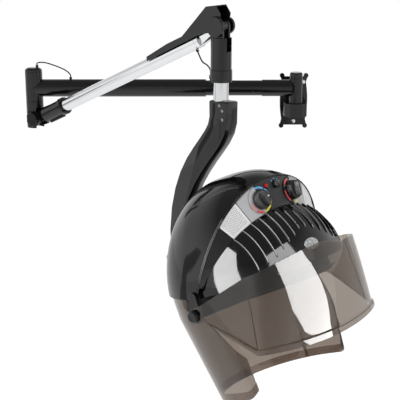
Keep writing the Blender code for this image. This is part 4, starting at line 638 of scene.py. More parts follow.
def rib_rings(across):
    """Cross-sections of one rib from the panel to its nose."""
    origin = Vector((SLICE_AXIS.x, across, SLICE_AXIS.z))
    end_height = RIB_END - RIB_END_FALL * abs(across)
    stations = []
    for tip in spread(RIB_SLICE - 2 * SLICE_GAP, FRONT_SLICE, RIB_STATIONS):
        heading = Vector((cos(radians(tip)), 0, sin(radians(tip))))
        base = hull_reach(BONNET, origin, heading)
        if base.z + RIB_RISE < end_height:
            break
        stations.append((base, heading))
    rings = []
    for index, (base, heading) in enumerate(stations):
        left = len(stations) - 1 - index
        rise = RIB_RISE * min(1.0, sqrt(left / RIB_NOSE))
        half = RIB_HALF
        profile = ((-half, -RIB_ROOT), (-half, rise - half), (-0.7 * half, rise - 0.3 * half), (0, rise),
                   (0.7 * half, rise - 0.3 * half), (half, rise - half), (half, -RIB_ROOT))
        rings.append([base + heading * up + Vector((0, side, 0)) for side, up in profile])
    return rings


for index in range(RIB_COUNT):
    across = (index - (RIB_COUNT - 1) / 2) * RIB_PITCH
    rib = piece_from(f"bonnet_rib_{index + 1}", loft(rib_rings(across)), HOOD)
    dress(rib, "hood", gloss_abs)
print("ribs:", RIB_COUNT)

# %% [markdown]
# ## The double bead along the seam
# Where the dome meets the panel, a strip of trim holds two fine polished beads with a groove between
# them, which catch the light as two thin lines. The beads are rods swept along the seam on a flat strip.

# %% Seam trim
BEAD_RADIUS = 0.9 * MM
BEAD_SPREAD = 1.7 * MM
BEAD_HEIGHT = 1.3 * MM
SEAM_ARCHES = spread(5, 175, 110)
SOFT_FOLD = radians(60)
seam_axis = Vector((-sin(radians(SEAM_SLICE)), 0, cos(radians(SEAM_SLICE))))


def circle(radius, sides):
    """Points of a circle, as pairs."""
    return [(radius * cos(t), radius * sin(t)) for t in spread(0, 2 * pi, sides)[:-1]]


def swept(section):
    """A section of (across, up) points carried along the seam."""
    rings = []
    for arch in SEAM_ARCHES:
        centre = slice_point(DOME, SEAM_SLICE, arch)
        out = (centre - SLICE_AXIS).normalized()
        rings.append([centre + seam_axis * across + out * up for across, up in section])
    return loft(rings)


strip_outline = ((-2.4, 0.4), (-2.4, 0.9), (-1.8, 1.2), (1.8, 1.2), (2.4, 0.9), (2.4, 0.4))
strip = piece_from("seam_strip", swept([(x * MM, y * MM) for x, y in strip_outline]), HOOD)
dress(strip, "hood", gloss_abs, ["seam_trim"])
for name, side in (("rear", -1), ("front", 1)):
    section = [(side * BEAD_SPREAD + x, BEAD_HEIGHT + y) for x, y in circle(BEAD_RADIUS, 10)]
    bead = piece_from(f"seam_bead_{name}", swept(section), HOOD, fold=SOFT_FOLD)
    dress(bead, "hood", gloss_abs)
print("seam trim: a strip and two beads")

# %% [markdown]
# ## The sloping face
# Between the seam and the ribs lies a ruled band: straight lines from the dome's edge to the bonnet's.
# The middle of it is the control panel, with a printed film whose ends are light grey. On each side of
# the panel is a perforated grille, and below that a plain black cheek runs down to the ear.

# %% Points on the sloping face
PANEL_EDGE = 60.5
GRILLE_EDGE = 44
CHEEK_EDGE = 7
BAND_WALL = 5 * MM
ROW_STEP, ARCH_STEP = 0.01, 0.5


def band_point(arch, row, depth=0.0):
    """Point on the sloping face; row runs from the seam to the ribs."""
    high = slice_point(DOME, SEAM_SLICE - SLICE_GAP, arch)
    p = high.lerp(slice_point(BONNET, RIB_SLICE + SLICE_GAP, arch), row)
    return p + (SLICE_AXIS - p).normalized() * depth


def band_frame(arch, row):
    """Placement on the sloping face: Z out of it, X towards the ribs."""
    origin = band_point(arch, row)
    down = (band_point(arch, row + ROW_STEP) - band_point(arch, row - ROW_STEP)).normalized()
    around = (band_point(arch + ARCH_STEP, row) - band_point(arch - ARCH_STEP, row)).normalized()
    out = down.cross(around).normalized()
    if out.dot(origin - SLICE_AXIS) < 0:
        out.negate()
    return Matrix.Translation(origin) @ Matrix((down, out.cross(down), out)).transposed().to_4x4()


def band_sheet(arches, rows, high=0.0, low=BAND_WALL):
    """Closed piece of the sloping face over a row of arch angles."""
    rings = []
    for arch in arches:
        skin = [band_point(arch, row, high) for row in spread(0, 1, rows)]
        rings.append(skin + [band_point(arch, row, low) for row in reversed(spread(0, 1, rows))])
    return loft(rings)


face_width = (band_point(90, 1) - band_point(90, 0)).length
print("sloping face:", round(face_width / MM), "mm wide in the middle")

# %% [markdown]
# ## Turning and boring
# Knob plates, screws and bolts are turned on a lathe, so a profile is spun about an axis. Holes are cut
# with round bars by Blender's boolean, and the result is kept as the piece's own mesh, so that nothing
# has to be worked out again when the piece moves.

# %% Turning and boring
BAR_HALF = 0.02


def turned(profile, segments):
    """Spin a (radius, height) profile about Z."""
    bm = bmesh.new()
    points = [bm.verts.new((r, 0, z)) for r, z in profile]
    edges = [bm.edges.new(pair) for pair in zip(points, points[1:])]
    if profile[0][0] > 0:
        edges.append(bm.edges.new((points[-1], points[0])))
    bmesh.ops.spin(bm, geom=points + edges, cent=(0, 0, 0), axis=(0, 0, 1), angle=2 * pi,
                   steps=segments, use_merge=True)
    return bm


def round_bar(name, radius, segments, place):
    """Bar that cuts a round hole."""
    profile = [(0, -BAR_HALF), (radius, -BAR_HALF), (radius, BAR_HALF), (0, BAR_HALF)]
    return piece_from(name, turned(profile, segments), place)


def keep_shape(piece):
    """Make what the modifiers give the piece's own mesh."""
    result = shaped_mesh(piece)
    piece.modifiers.clear()
    piece.data = result


def bored(piece, cutters):
    """Cut holes and keep the result."""
    for cutter in cutters:
        cut = piece.modifiers.new("hole", "BOOLEAN")
        cut.operation = "DIFFERENCE"
        cut.solver = "EXACT"
        cut.object = cutter
    keep_shape(piece)
    for cutter in cutters:
        bpy.data.objects.remove(cutter)


print("holes are cut with bars", 2 * BAR_HALF / MM, "mm long")

# %% [markdown]
# ## The control panel and the cheeks
# The panel is a moulding under one printed film. It has a hole for each dial, for the small selector
# and for the lamp. The film changes from graphite to light grey where the middle of a dial lies, so the
# same split is used for the panel and for the dial plates. The cheeks are plain stretches of the face.

# %% Panel and cheeks
KNOB_ARCH, KNOB_ROW = 75, 0.52
SELECTOR_ARCH, SELECTOR_ROW = 88.5, 0.26
LAMP_ARCH, LAMP_ROW = 96.5, 0.20
DIAL_HOLE, SELECTOR_HOLE, LAMP_HOLE = 27.8 * MM, 3.8 * MM, 5.1 * MM
dial_places = {"timer": HOOD @ band_frame(180 - KNOB_ARCH, KNOB_ROW),
               "heat": HOOD @ band_frame(KNOB_ARCH, KNOB_ROW)}
selector_place = HOOD @ band_frame(SELECTOR_ARCH, SELECTOR_ROW)
lamp_place = HOOD @ band_frame(LAMP_ARCH, LAMP_ROW)


def two_tone(piece):
    """Graphite film on the panel's middle and light grey film on its ends."""
    piece.data.materials.append(panel_dark)
    piece.data.materials.append(panel_light)
    for facet in piece.data.polygons:
        ray = (HOOD.inverted() @ facet.center - SLICE_AXIS).normalized()
        facet.material_index = int(abs(acos(ray.y) - pi / 2) > radians(90 - KNOB_ARCH))


def both_sides(start, end):
    """Side names with their stretch of arch angles, mirrored on the right."""
    return (("left", start + SLICE_GAP, end - SLICE_GAP),
            ("right", 180 - end + SLICE_GAP, 180 - start - SLICE_GAP))


steps_out = spread(PANEL_EDGE + SLICE_GAP, KNOB_ARCH, 12)
steps_across = spread(KNOB_ARCH, 180 - KNOB_ARCH, 26)[1:-1]
panel_arches = steps_out + steps_across + [180 - arch for arch in reversed(steps_out)]
panel = piece_from("panel_film", band_sheet(panel_arches, 10), HOOD)
two_tone(panel)
cutters = [round_bar("hole_bar", radius, 64, place)
           for place, radius in ((dial_places["timer"], DIAL_HOLE), (dial_places["heat"], DIAL_HOLE),
                                 (selector_place, SELECTOR_HOLE), (lamp_place, LAMP_HOLE))]
for bar in cutters:
    bar.data.materials.append(panel_dark)
bored(panel, cutters)
dress(panel, "hood", stands_for=["control_panel"])
for name, low, high in both_sides(CHEEK_EDGE, GRILLE_EDGE):
    cheek = piece_from(f"{name}_cheek_cover", band_sheet(spread(low, high, 30), 8), HOOD)
    dress(cheek, "hood", gloss_abs, [f"{name}_cheek"])
print("panel:", len(panel.data.polygons), "faces")

# %% [markdown]
# ## The perforated grilles
# Warm air leaves through a thin sheet punched with staggered round holes, 3.6 mm apart. Each hole sits
# in a six-sided cell, so the cells fit together like a honeycomb; a plain border covers their ragged
# edge, and a black duct lies behind.

# %% Punched sheet and border
HOLE_PITCH = 3.6 * MM
ROW_PITCH = HOLE_PITCH * sqrt(3) / 2
CELL_RADIUS = HOLE_PITCH / sqrt(3)
HOLE_RADIUS = 0.95 * MM
HOLE_SIDES = 12
SHEET_FACE, SHEET_BACK = 0.3 * MM, 1.0 * MM
BORDER = 0.07
BORDER_STEPS = 16


def cell_ring(radius, six_sided):
    """Points round one hole as (along, up) pairs: the hole's circle or its six-sided cell."""
    ring = []
    for corner in range(HOLE_SIDES):
        t = 2 * pi / HOLE_SIDES * corner
        reach = radius * (cos(pi / 6) / cos(t % (pi / 3) - pi / 6) if six_sided else 1)
        ring.append((reach * sin(t), reach * cos(t)))
    return ring


def grille_sheet(start, end):
    """Punched sheet over one stretch of the sloping face."""
    middle = 0.5 * (start + end)
    width = (band_point(end, 0.5) - band_point(start, 0.5)).length
    height = (band_point(middle, 1) - band_point(middle, 0)).length

    def at(u, v, depth):
        return band_point(start + (end - start) * u / width, v / height, depth)

    def inside(place, reach):
        return HOLE_PITCH / 2 < place < reach - HOLE_PITCH / 2

    cell, hole = cell_ring(CELL_RADIUS, True), cell_ring(HOLE_RADIUS, False)
    bm = bmesh.new()
    for row in range(int(height / ROW_PITCH) + 1):
        for column in range(int(width / HOLE_PITCH) + 1):
            u, v = (column + 0.5 * (row % 2)) * HOLE_PITCH, row * ROW_PITCH
            if not (inside(u, width) and inside(v, height)):
                continue
            rims = [[bm.verts.new(at(u + along, v + up, depth)) for along, up in ring]
                    for ring, depth in ((cell, SHEET_FACE), (hole, SHEET_FACE), (hole, SHEET_BACK))]
            for inner, outer in zip(rims[1:], rims):
                for i in range(HOLE_SIDES):
                    bm.faces.new((outer[i - 1], outer[i], inner[i], inner[i - 1]))
    return bm


def grille_border(start, end):
    """Raised frame round the punched sheet."""
    rings = []
    for share in (0, BORDER):
        inset = (end - start) * share
        near, far = start + inset, end - inset
        outline = ((near, share), (far, share), (far, 1 - share), (near, 1 - share))
        edge = []
        for (a0, r0), (a1, r1) in zip(outline, outline[1:] + outline[:1]):
            edge += zip(spread(a0, a1, BORDER_STEPS)[:-1], spread(r0, r1, BORDER_STEPS)[:-1])
        rings.append(edge)
    loops = [(rings[0], BAND_WALL), (rings[0], 0.0), (rings[1], 0.0), (rings[1], BAND_WALL)]
    return loft([[band_point(a, r, depth) for a, r in edge] for edge, depth in loops], wrap=True)


print("holes:", 2 * HOLE_RADIUS / MM, "mm wide and", HOLE_PITCH / MM, "mm apart")

# %% Grilles
DUCT_FACE, DUCT_BACK = 3.2 * MM, 4.2 * MM
for name, low, high in both_sides(GRILLE_EDGE, PANEL_EDGE):
    punched = piece_from(f"{name}_punched_sheet", grille_sheet(low, high), HOOD)
    dress(punched, "hood", pale_sheet, [f"{name}_grille"])
    border = piece_from(f"{name}_grille_border", grille_border(low, high), HOOD)
    dress(border, "hood", pale_sheet)
    duct_bm = band_sheet(spread(low, high, 16), 6, DUCT_FACE, DUCT_BACK)
    duct = piece_from(f"{name}_grille_duct", duct_bm, HOOD)
    dress(duct, "hood", grained_abs)
print("grilles: two punched sheets of", len(punched.data.polygons), "faces")

# %% [markdown]
# ## Dials and knobs
# Each dial is a plate in the panel with printed arcs, blue to yellow to red, round a black knob. The
# knob has a raised grip and a white pointer. Arcs and scale marks are thin printed layers on the plate.
# They are real, very thin pieces and not a picture, so they stay crisp however near the camera comes.

# %% Printed arcs
ARC_STEP = 4


def arc_patch(start, end, inner, outer, low, high):
    """Raised ring sector between two angles in degrees."""
    rings = []
    for angle in spread(start, end, max(2, int(abs(end - start) / ARC_STEP))):
        heading = Vector((cos(radians(angle)), sin(radians(angle)), 0))
        section = ((inner, low), (outer, low), (outer, high), (inner, high))
        rings.append([heading * r + Vector((0, 0, z)) for r, z in section])
    return loft(rings)


print("arcs have a section every", ARC_STEP, "degrees")

# %% Dials
DIAL_RADIUS, DIAL_BORE = 27.5 * MM, 3.8 * MM
DIAL_FACE, DIAL_BACK, DIAL_RIM = 1.2 * MM, -5.5 * MM, 0.6 * MM
INK = 0.12 * MM
ARC_INNER, ARC_OUTER = 22.6 * MM, 27.0 * MM
TICK_OUTER, TICK_WIDTH = 24.6 * MM, 2.5
TICK_ANGLES = spread(192, 250, 6)
POINTER = (85, 95, 6.5 * MM, 16 * MM, 11.9 * MM, 12.8 * MM)
dial_arcs = {
    "timer": ((ink_blue, 132, 180), (ink_blue, 91, 126), (ink_yellow, 49, 84), (ink_yellow, -3, 43),
              (ink_red, 305, 349), (ink_pink, 262, 302)),
    "heat": ((ink_red, 200, 247), (ink_red, 275, 332), (ink_yellow, 15, 35)),
}
plate_profile = [(DIAL_BORE, DIAL_BACK), (DIAL_RADIUS, DIAL_BACK), (DIAL_RADIUS, DIAL_FACE - DIAL_RIM),
                 (DIAL_RADIUS - DIAL_RIM, DIAL_FACE), (DIAL_BORE, DIAL_FACE)]
for name, place in dial_places.items():
    plate = piece_from(f"{name}_dial_plate", turned(plate_profile, 72), place)
    two_tone(plate)
    dress(plate, "hood", stands_for=[f"{name}_dial"])
    for index, (ink, start, end) in enumerate(dial_arcs[name]):
        arc = arc_patch(start, end, ARC_INNER, ARC_OUTER, DIAL_FACE, DIAL_FACE + INK)
        dress(piece_from(f"{name}_arc_{index + 1}", arc, place), "hood", ink)
    refined(f"{name}_knob", grained_abs, 0.4, levels=2)
    pointer = piece_from(f"{name}_pointer", arc_patch(*POINTER), place)
    dress(pointer, name, ink_white)
    for index, angle in enumerate(TICK_ANGLES):
        tick = arc_patch(angle, angle + TICK_WIDTH, ARC_INNER, TICK_OUTER, DIAL_FACE, DIAL_FACE + INK)
        made = piece_from(f"{name}_tick_{index + 1}", tick, place)
        dress(made, "hood", ink_white)
print("dials:", sorted(dial_places))

# %% Selector, lamp and badge
MARK_INNER, MARK_OUTER, MARK_HALF = 11 * MM, 13 * MM, 9
MARK_ANGLES = (135, 180, 225)
refined("selector_knob", grained_abs, 0.3, levels=2)
for index, angle in enumerate(MARK_ANGLES):
    mark = arc_patch(angle - MARK_HALF, angle + MARK_HALF, MARK_INNER, MARK_OUTER, -INK, INK)
    made = piece_from(f"selector_mark_{index + 1}", mark, selector_place)
    dress(made, "hood", ink_blue)
refined("lamp_lens", red_acrylic, 0.3, levels=2)
refined("front_badge", silver_lacquer, 0.4, levels=2)
print("selector marks:", len(MARK_ANGLES))

# %% [markdown]
# ## The visor
# The visor is formed from one sheet: flat wings run forward from the pivots, fold at two crisp corners
# and meet in a front that bows outward. A row of columns follows its long edges from ear to ear, and
# each column runs from the upper edge to the lower one, where the sheet steps out into a lip. The same
# numbers as the solid's are used with more columns, so that the gloss runs smoothly between the folds.

# %% Visor's edges and surface
VISOR_PLAN = 0.1962
VISOR_EAR, EAR_FLARE = 0.014, 1.25
VISOR_FLAT = 0.026
VISOR_BOW = 0.010
TOP_CORNER, TOP_REACH, TOP_CROWN = Vector((0.130, 0.163, 0.046)), 0.073, 0.017
LOW_CORNER, LOW_REACH, LOW_CROWN = Vector((0.120, 0.181, -0.102)), 0.050, -0.017
LIP_START, LIP_OUT = 0.93, 3.9 * MM
EAR_OUTLINE = ((-1, 0.1), (-0.93, 0.42), (-0.72, 0.7), (-0.4, 0.9), (0, 1))
WING_STEPS = 10
FRONT_STEPS = 64
ROW_SHARES = spread(0, 0.9, 18) + [0.92, 0.94, 0.97, 1.0]


def visor_edge(corner, reach, crown, ear):
    """One long edge of the visor from the left ear round the front to the right ear."""
    left = [Vector((along * VISOR_EAR, VISOR_PLAN, share * ear)) for along, share in EAR_OUTLINE]
    start = Vector((VISOR_FLAT, VISOR_PLAN, EAR_FLARE * ear))
    left += [start.lerp(corner, share) for share in spread(0, 1, WING_STEPS)]
    front = []
    for t in spread(0, pi, FRONT_STEPS)[1:-1]:
        height = corner.z + crown * sin(t) ** 2
        front.append(Vector((corner.x + reach * sin(t), corner.y * cos(t), height)))
    return left + front + [Vector((p.x, -p.y, p.z)) for p in reversed(left)]


def visor_sheet():
    """The visor's middle surface as a grid of columns."""
    bm = bmesh.new()
    columns = []
    for high, deep in zip(visor_edge(TOP_CORNER, TOP_REACH, TOP_CROWN, VISOR_EAR),
                          visor_edge(LOW_CORNER, LOW_REACH, LOW_CROWN, -VISOR_EAR)):
        out = Vector((high.x + deep.x, high.y + deep.y, 0)).normalized()
        column = []
        for share in ROW_SHARES:
            lip = LIP_OUT if share > LIP_START and high.x > VISOR_FLAT + WELD else 0.0
            bow = VISOR_BOW * sin(pi * share) * max(0.0, 1 - (high.y / TOP_CORNER.y) ** 2)
            column.append(bm.verts.new(high.lerp(deep, share) + out * lip + Vector((bow, 0, 0))))
        columns.append(column)
    for column, after in zip(columns, columns[1:]):
        for i in range(len(ROW_SHARES) - 1):
            bm.faces.new((column[i], column[i + 1], after[i + 1], after[i]))
    return bm


print("visor:", round(2 * VISOR_PLAN, 4), "m across its ears")

# %% Visor
VISOR_WALL = 2.5 * MM
VISOR_FOLD = radians(14)
PIVOT_HOLE = 5.3 * MM


def walled(piece, wall):
    """Thicken a sheet evenly about its middle and keep the result."""
    thick = piece.modifiers.new("wall", "SOLIDIFY")
    thick.thickness = wall
    thick.offset = 0.0
    keep_shape(piece)
    return piece


visor_cover = walled(piece_from("visor_sheet", visor_sheet(), HOOD), VISOR_WALL)
pivots = [HOOD @ shift(0, side * VISOR_PLAN, 0) @ turn(90, "X") for side in (1, -1)]
bored(visor_cover, [round_bar("pivot_bar", PIVOT_HOLE, 32, pivot) for pivot in pivots])
visor_cover.data.shade_smooth()
visor_cover.data.set_sharp_from_angle(angle=VISOR_FOLD)
dress(visor_cover, "visor", smoke_visor, ["visor"])
print("visor:", len(visor_cover.data.polygons), "faces")

# %% [markdown]
# ## Painted shade in the visor's folds
# Each fold of the visor shows a thin dark line of shade. A change of colour in the sheet would be lost
# in its gloss, so this shade is painted on a thin dark rod of its own just inside each fold.

# %% Painted shade in the visor's folds
FOLD_SHADE_RADIUS = 1.1 * MM
FOLD_SHADE_INSET = 2.6 * MM
FOLD_SHADE_ENDS = (0.01, 0.91)
for name, side in (("left", 1), ("right", -1)):
    high, deep = (Vector((corner.x - FOLD_SHADE_INSET, side * (corner.y - FOLD_SHADE_INSET), corner.z))
                  for corner in (TOP_CORNER, LOW_CORNER))
    rings = [[high.lerp(deep, share) + Vector((x, y, 0)) for x, y in circle(FOLD_SHADE_RADIUS, 12)]
             for share in FOLD_SHADE_ENDS]
    # Each rod is painted shade: a dark line inside the fold, not part of the sheet.
    fold_shade = piece_from(f"{name}_visor_crease", loft(rings), HOOD, fold=SOFT_FOLD)
    dress(fold_shade, "visor", fold_shade_paint)
print("painted_fold_shades: two, each", 2 * FOLD_SHADE_RADIUS / MM, "mm thick")

# %% [markdown]
# ## The skirt
# The skirt is a second formed sheet, a wall below the shells that runs from the right cheek round the
# rear to the left cheek, with a long lobe under each ear. It is open at the front. Its plan is a squared
# oval that draws in towards the bottom, so it is lofted from many upright sections.

# %% Skirt's plan and edges
SKIRT_REAR, SKIRT_FRONT, SKIRT_SIDE = 0.1630, 0.063, 0.1840
SIDE_DRAW, REAR_DRAW = 0.150, 0.200
FRONT_SQUARE, REAR_SQUARE = 4.5, 2.05
FRONT_TOP, FRONT_LOW = -0.137, -0.150
EAR_TOP, FRONT_DROP, TOP_SWEEP = 5 * MM, 6 * MM, 1.1
REAR_TOP, REAR_SLOPE = 0.010, 0.162
EAR_DIP, EAR_DIP_REACH = 0.036, 0.030
LOBE_X, LOBE_LOW, REAR_LOW = 0.026, -0.189, -0.178
LOBE_REACH, REAR_SWEEP, FRONT_SWEEP = 0.150, 1.5, 3


def skirt_plan(angle, height, inset):
    """Point of the skirt's plan at one height."""
    side = SKIRT_SIDE + SIDE_DRAW * min(height, 0.0) - inset
    rear = SKIRT_REAR + REAR_DRAW * min(height, 0.0) - inset
    length, power = (SKIRT_FRONT - inset, FRONT_SQUARE) if cos(angle) > 0 else (rear, REAR_SQUARE)
    scale = (abs(cos(angle) / length) ** power + abs(sin(angle) / side) ** power) ** (-1 / power)
    return Vector((cos(angle) * scale, sin(angle) * scale, height))


def skirt_heights(x):
    """Upper and lower edge of the skirt at one place along the hood."""
    if x < 0:
        dip = EAR_DIP * max(0.0, 1 + x / EAR_DIP_REACH)
        upper = SLICE_AXIS.z + REAR_TOP + REAR_SLOPE * (SLICE_AXIS.x - x) - dip
    else:
        upper = EAR_TOP + (FRONT_TOP - FRONT_DROP) * (x / SKIRT_FRONT) ** TOP_SWEEP
    behind = min(1.0, max(0.0, (LOBE_X - x) / (LOBE_X + LOBE_REACH)))
    ahead = max(0.0, (x - LOBE_X) / (SKIRT_FRONT - LOBE_X))
    rise = (REAR_LOW - LOBE_LOW) * behind ** REAR_SWEEP + (FRONT_LOW - LOBE_LOW) * ahead ** FRONT_SWEEP
    return upper, LOBE_LOW + rise


print("skirt's rear edges:", [round(z, 4) for z in skirt_heights(-SKIRT_REAR)])

# %% Skirt
SKIRT_WALL = 2.5 * MM
SKIRT_STEPS, SKIRT_ROWS = 288, 8
SKIRT_ENDS = (radians(70.7), radians(289.3))


def skirt_wall(start, end, steps, edges, outer, inner):
    """A stretch of the wall between two depths; edges gives its upper and lower height at one x."""
    rings = []
    for angle in spread(start, end, steps):
        upper, lower = edges(skirt_plan(angle, FRONT_TOP, 0).x)
        heights = spread(upper, lower, SKIRT_ROWS)
        skin = [skirt_plan(angle, z, outer) for z in heights]
        rings.append(skin + [skirt_plan(angle, z, inner) for z in reversed(heights)])
    return loft(rings)


skirt_bm = skirt_wall(*SKIRT_ENDS, SKIRT_STEPS, skirt_heights, 0, SKIRT_WALL)
skirt_cover = soften(piece_from("skirt_sheet", skirt_bm, HOOD), 0.7)
dress(skirt_cover, "hood", smoke_skirt, ["skirt"])
print("skirt:", len(skirt_cover.data.polygons), "faces")

# %% [markdown]
# ## Hem, seams and bowl
# A second strip of the same sheet doubles the skirt along its lower edge, and shows there as a darker
# hem. A narrow upright strip on each side covers the lap of the sheet. Both are stretches of the same
# wall, set just inside it. The bowl inside stays a subdivided copy of its solid.

# %% Hem, seams and bowl
HEM_HEIGHT, HEM_WALL = 17 * MM, 1.2 * MM
TOP_MARGIN, FOOT_MARGIN = 1 * MM, 0.8 * MM
HEM_DEPTH = SKIRT_WALL + 0.1 * MM
SEAM_DEPTH = HEM_DEPTH + HEM_WALL + 0.05 * MM
SEAM_TOP, SEAM_HALF = -0.045, 1.2
SEAM_ANGLES = (("left", 112), ("right", 248))


def hem_heights(x):
    upper, lower = skirt_heights(x)
    return min(upper - TOP_MARGIN, lower + HEM_HEIGHT), lower + FOOT_MARGIN


def seam_heights(x):
    upper, lower = skirt_heights(x)
    return min(upper - TOP_MARGIN, SEAM_TOP), lower + FOOT_MARGIN


hem_bm = skirt_wall(*SKIRT_ENDS, SKIRT_STEPS, hem_heights, HEM_DEPTH, HEM_DEPTH + HEM_WALL)
dress(piece_from("skirt_hem", hem_bm, HOOD), "hood", smoke_hem)
for name, middle in SEAM_ANGLES:
    ends = radians(middle - SEAM_HALF), radians(middle + SEAM_HALF)
    seam_bm = skirt_wall(*ends, 6, seam_heights, SEAM_DEPTH, SEAM_DEPTH + HEM_WALL)
    dress(piece_from(f"{name}_skirt_seam", seam_bm, HOOD), "hood", smoke_hem)
refined("liner", liner_pbt, 0.5, levels=2)
print("skirt's strips: a hem and two seams")

# %% [markdown]
# ## Screws
# Pan-head screws with a cross recess hold the wall plate, and three smaller ones pin the neck to its
# tube. Each kind is cut once and copied, which is quicker than cutting every screw, and each copy stops
# at an angle of its own, as screws do.

# %% Screws
WALL_SEAT, NECK_SEAT = -7.3 * MM, -18 * MM
WALL_SCREWS = ((-0.022, 0.047), (0.022, 0.047), (0, -0.050))
RECESS_LENGTH, RECESS_WIDTH = 1.1, 0.24
NECK_SCREWS = ((0.012, -0.008), (0.020, -0.018), (0.020, -0.036))


def screw_head(name, radius, thick):
    """Pan head with a cross recess, its seat at the origin."""
    outline = ((0, 0), (1, 0), (1, 0.55), (0.9, 0.78), (0.6, 0.95), (0, 1))
    made = piece_from(name, turned([(r * radius, z * thick) for r, z in outline], 32))
    bars = []
    for quarter in (0, 90):
        bm = bmesh.new()
        size = Matrix.Diagonal((RECESS_LENGTH * radius, RECESS_WIDTH * radius, thick, 1))
        bmesh.ops.create_cube(bm, size=1.0, matrix=turn(quarter, "Z") @ shift(0, 0, thick) @ size)
        bars.append(piece_from("recess_bar", bm))
    bored(made, bars)
    made.data.shade_smooth()
    made.data.set_sharp_from_angle(angle=FOLD)
    return made


def placed_screw(name, pattern, place, body, stands_for=()):
    made = bpy.data.objects.new(name, pattern.data.copy())
    made.data.transform(place)
    scene.collection.objects.link(made)
    dress(made, body, bright_chrome if stands_for else zinc_plate, stands_for)


wall_pattern = screw_head("wall_screw_pattern", 5.5 * MM, 3.5 * MM)
for index, (x, z) in enumerate(WALL_SCREWS):
    place = shift(x, WALL_SEAT, z) @ turn(90, "X") @ turn(25 * index, "Z")
    placed_screw(f"wall_screw_head_{index + 1}", wall_pattern, place, "bracket",
                 [f"wall_screw_{index + 1}"])
neck_pattern = screw_head("neck_screw_pattern", 3.2 * MM, 1.6 * MM)
for index, (x, z) in enumerate(NECK_SCREWS):
    place = SWIVEL @ shift(x, NECK_SEAT, z) @ turn(90, "X") @ turn(30 * index, "Z")
    placed_screw(f"neck_screw_{index + 1}", neck_pattern, place, "neck")
for pattern in (wall_pattern, neck_pattern):
    bpy.data.objects.remove(pattern)
print("screws:", len(WALL_SCREWS), "in the wall plate and", len(NECK_SCREWS), "in the neck")

# %% [markdown]
# ## Clamp bolt and channel of the neck
# A bolt clamps the neck from behind, and a raised channel runs down its flank. One is turned, and the
# other is a plain bar with rounded edges, because no more of it can be seen.

# %% Clamp bolt and channel of the neck
BOLT_SEAT = (-0.0178, -0.004, -0.011)
CHANNEL_MIDDLE, CHANNEL_SIZE = (0.009, -0.0184, -0.058), (0.010, 0.0016, 0.042)
bolt_profile = [(r * MM, z * MM) for r, z in ((0, -2), (4.2, -2), (4.2, 3.6), (3.2, 5), (0, 5.6))]
bolt_place = SWIVEL @ shift(*BOLT_SEAT) @ turn(-90, "Y")
clamp_bolt = piece_from("neck_clamp_bolt", turned(bolt_profile, 32), bolt_place)
dress(clamp_bolt, "neck", grained_abs)
channel_bm = bmesh.new()
channel_scale = Matrix.Diagonal((*CHANNEL_SIZE, 1))
bmesh.ops.create_cube(channel_bm, size=1.0, matrix=shift(*CHANNEL_MIDDLE) @ channel_scale)
channel = soften(piece_from("neck_channel", channel_bm, SWIVEL), 0.6)
dress(channel, "neck", gloss_abs)
print("neck: a clamp bolt and a channel")

# %% [markdown]
# ## What stays as packed
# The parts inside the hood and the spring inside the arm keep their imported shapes, because hardly
# anything of them is seen. They only take their finishes.

# %% Inner parts
inner_finishes = {"balance_spring": zinc_plate, "heater_ring": heater_wire, "fan_deck": galvanised,
                  "fan_motor": galvanised, "fan_wheel": filled_nylon, "timer_unit": filled_nylon,
                  "thermostat_unit": filled_nylon}
for node, finish in inner_finishes.items():
    frame["nodes"][node].data.materials.clear()
    frame["nodes"][node].data.materials.append(finish)
print("inner parts:", len(inner_finishes))

# %% [markdown]
# ## Studio
# The dryer hangs above a pale floor in a white room. Two broad lamps and the room light it evenly. What
# the gloss shows is set apart from that, as a photographer sets it with cards: a tall strip on the right
# draws the bright band down the visor, a strip above it glints on the ribs, a softbox on the left front
# lies in the bonnet, and two dark flags keep the edges of the black shapes dark. Only reflections see
# these cards, and light linking keeps each bright one to the pieces that it is meant for.

# %% Lamps
LAMP_DISTANCE = 2.4
LAMP_SIZE = 1.6
hood_middle = HOOD.translation


def away(azimuth, elevation):
    """Direction from the hood, in degrees round it and up."""
    a, e = radians(azimuth), radians(elevation)
    return Vector((sin(a) * cos(e), -cos(a) * cos(e), sin(e)))


def broad_lamp(name, azimuth, elevation, watts):
    """Square lamp that faces the hood and is not itself reflected."""
    lamp = bpy.data.lights.new(name, "AREA")
    lamp.size = LAMP_SIZE
    lamp.energy = watts
    made = bpy.data.objects.new(name, lamp)
    made.location = hood_middle + away(azimuth, elevation) * LAMP_DISTANCE
    made.rotation_euler = away(azimuth, elevation).to_track_quat("Z", "Y").to_euler()
    made.visible_glossy = False
    scene.collection.objects.link(made)


broad_lamp("left_lamp", -45, 45, 22)
broad_lamp("right_lamp", 65, 35, 12)

# %% Cards
CARD_DISTANCE = 2.15
CLOTH_PATCH = 600
WHITE = (1, 1, 1, 1)


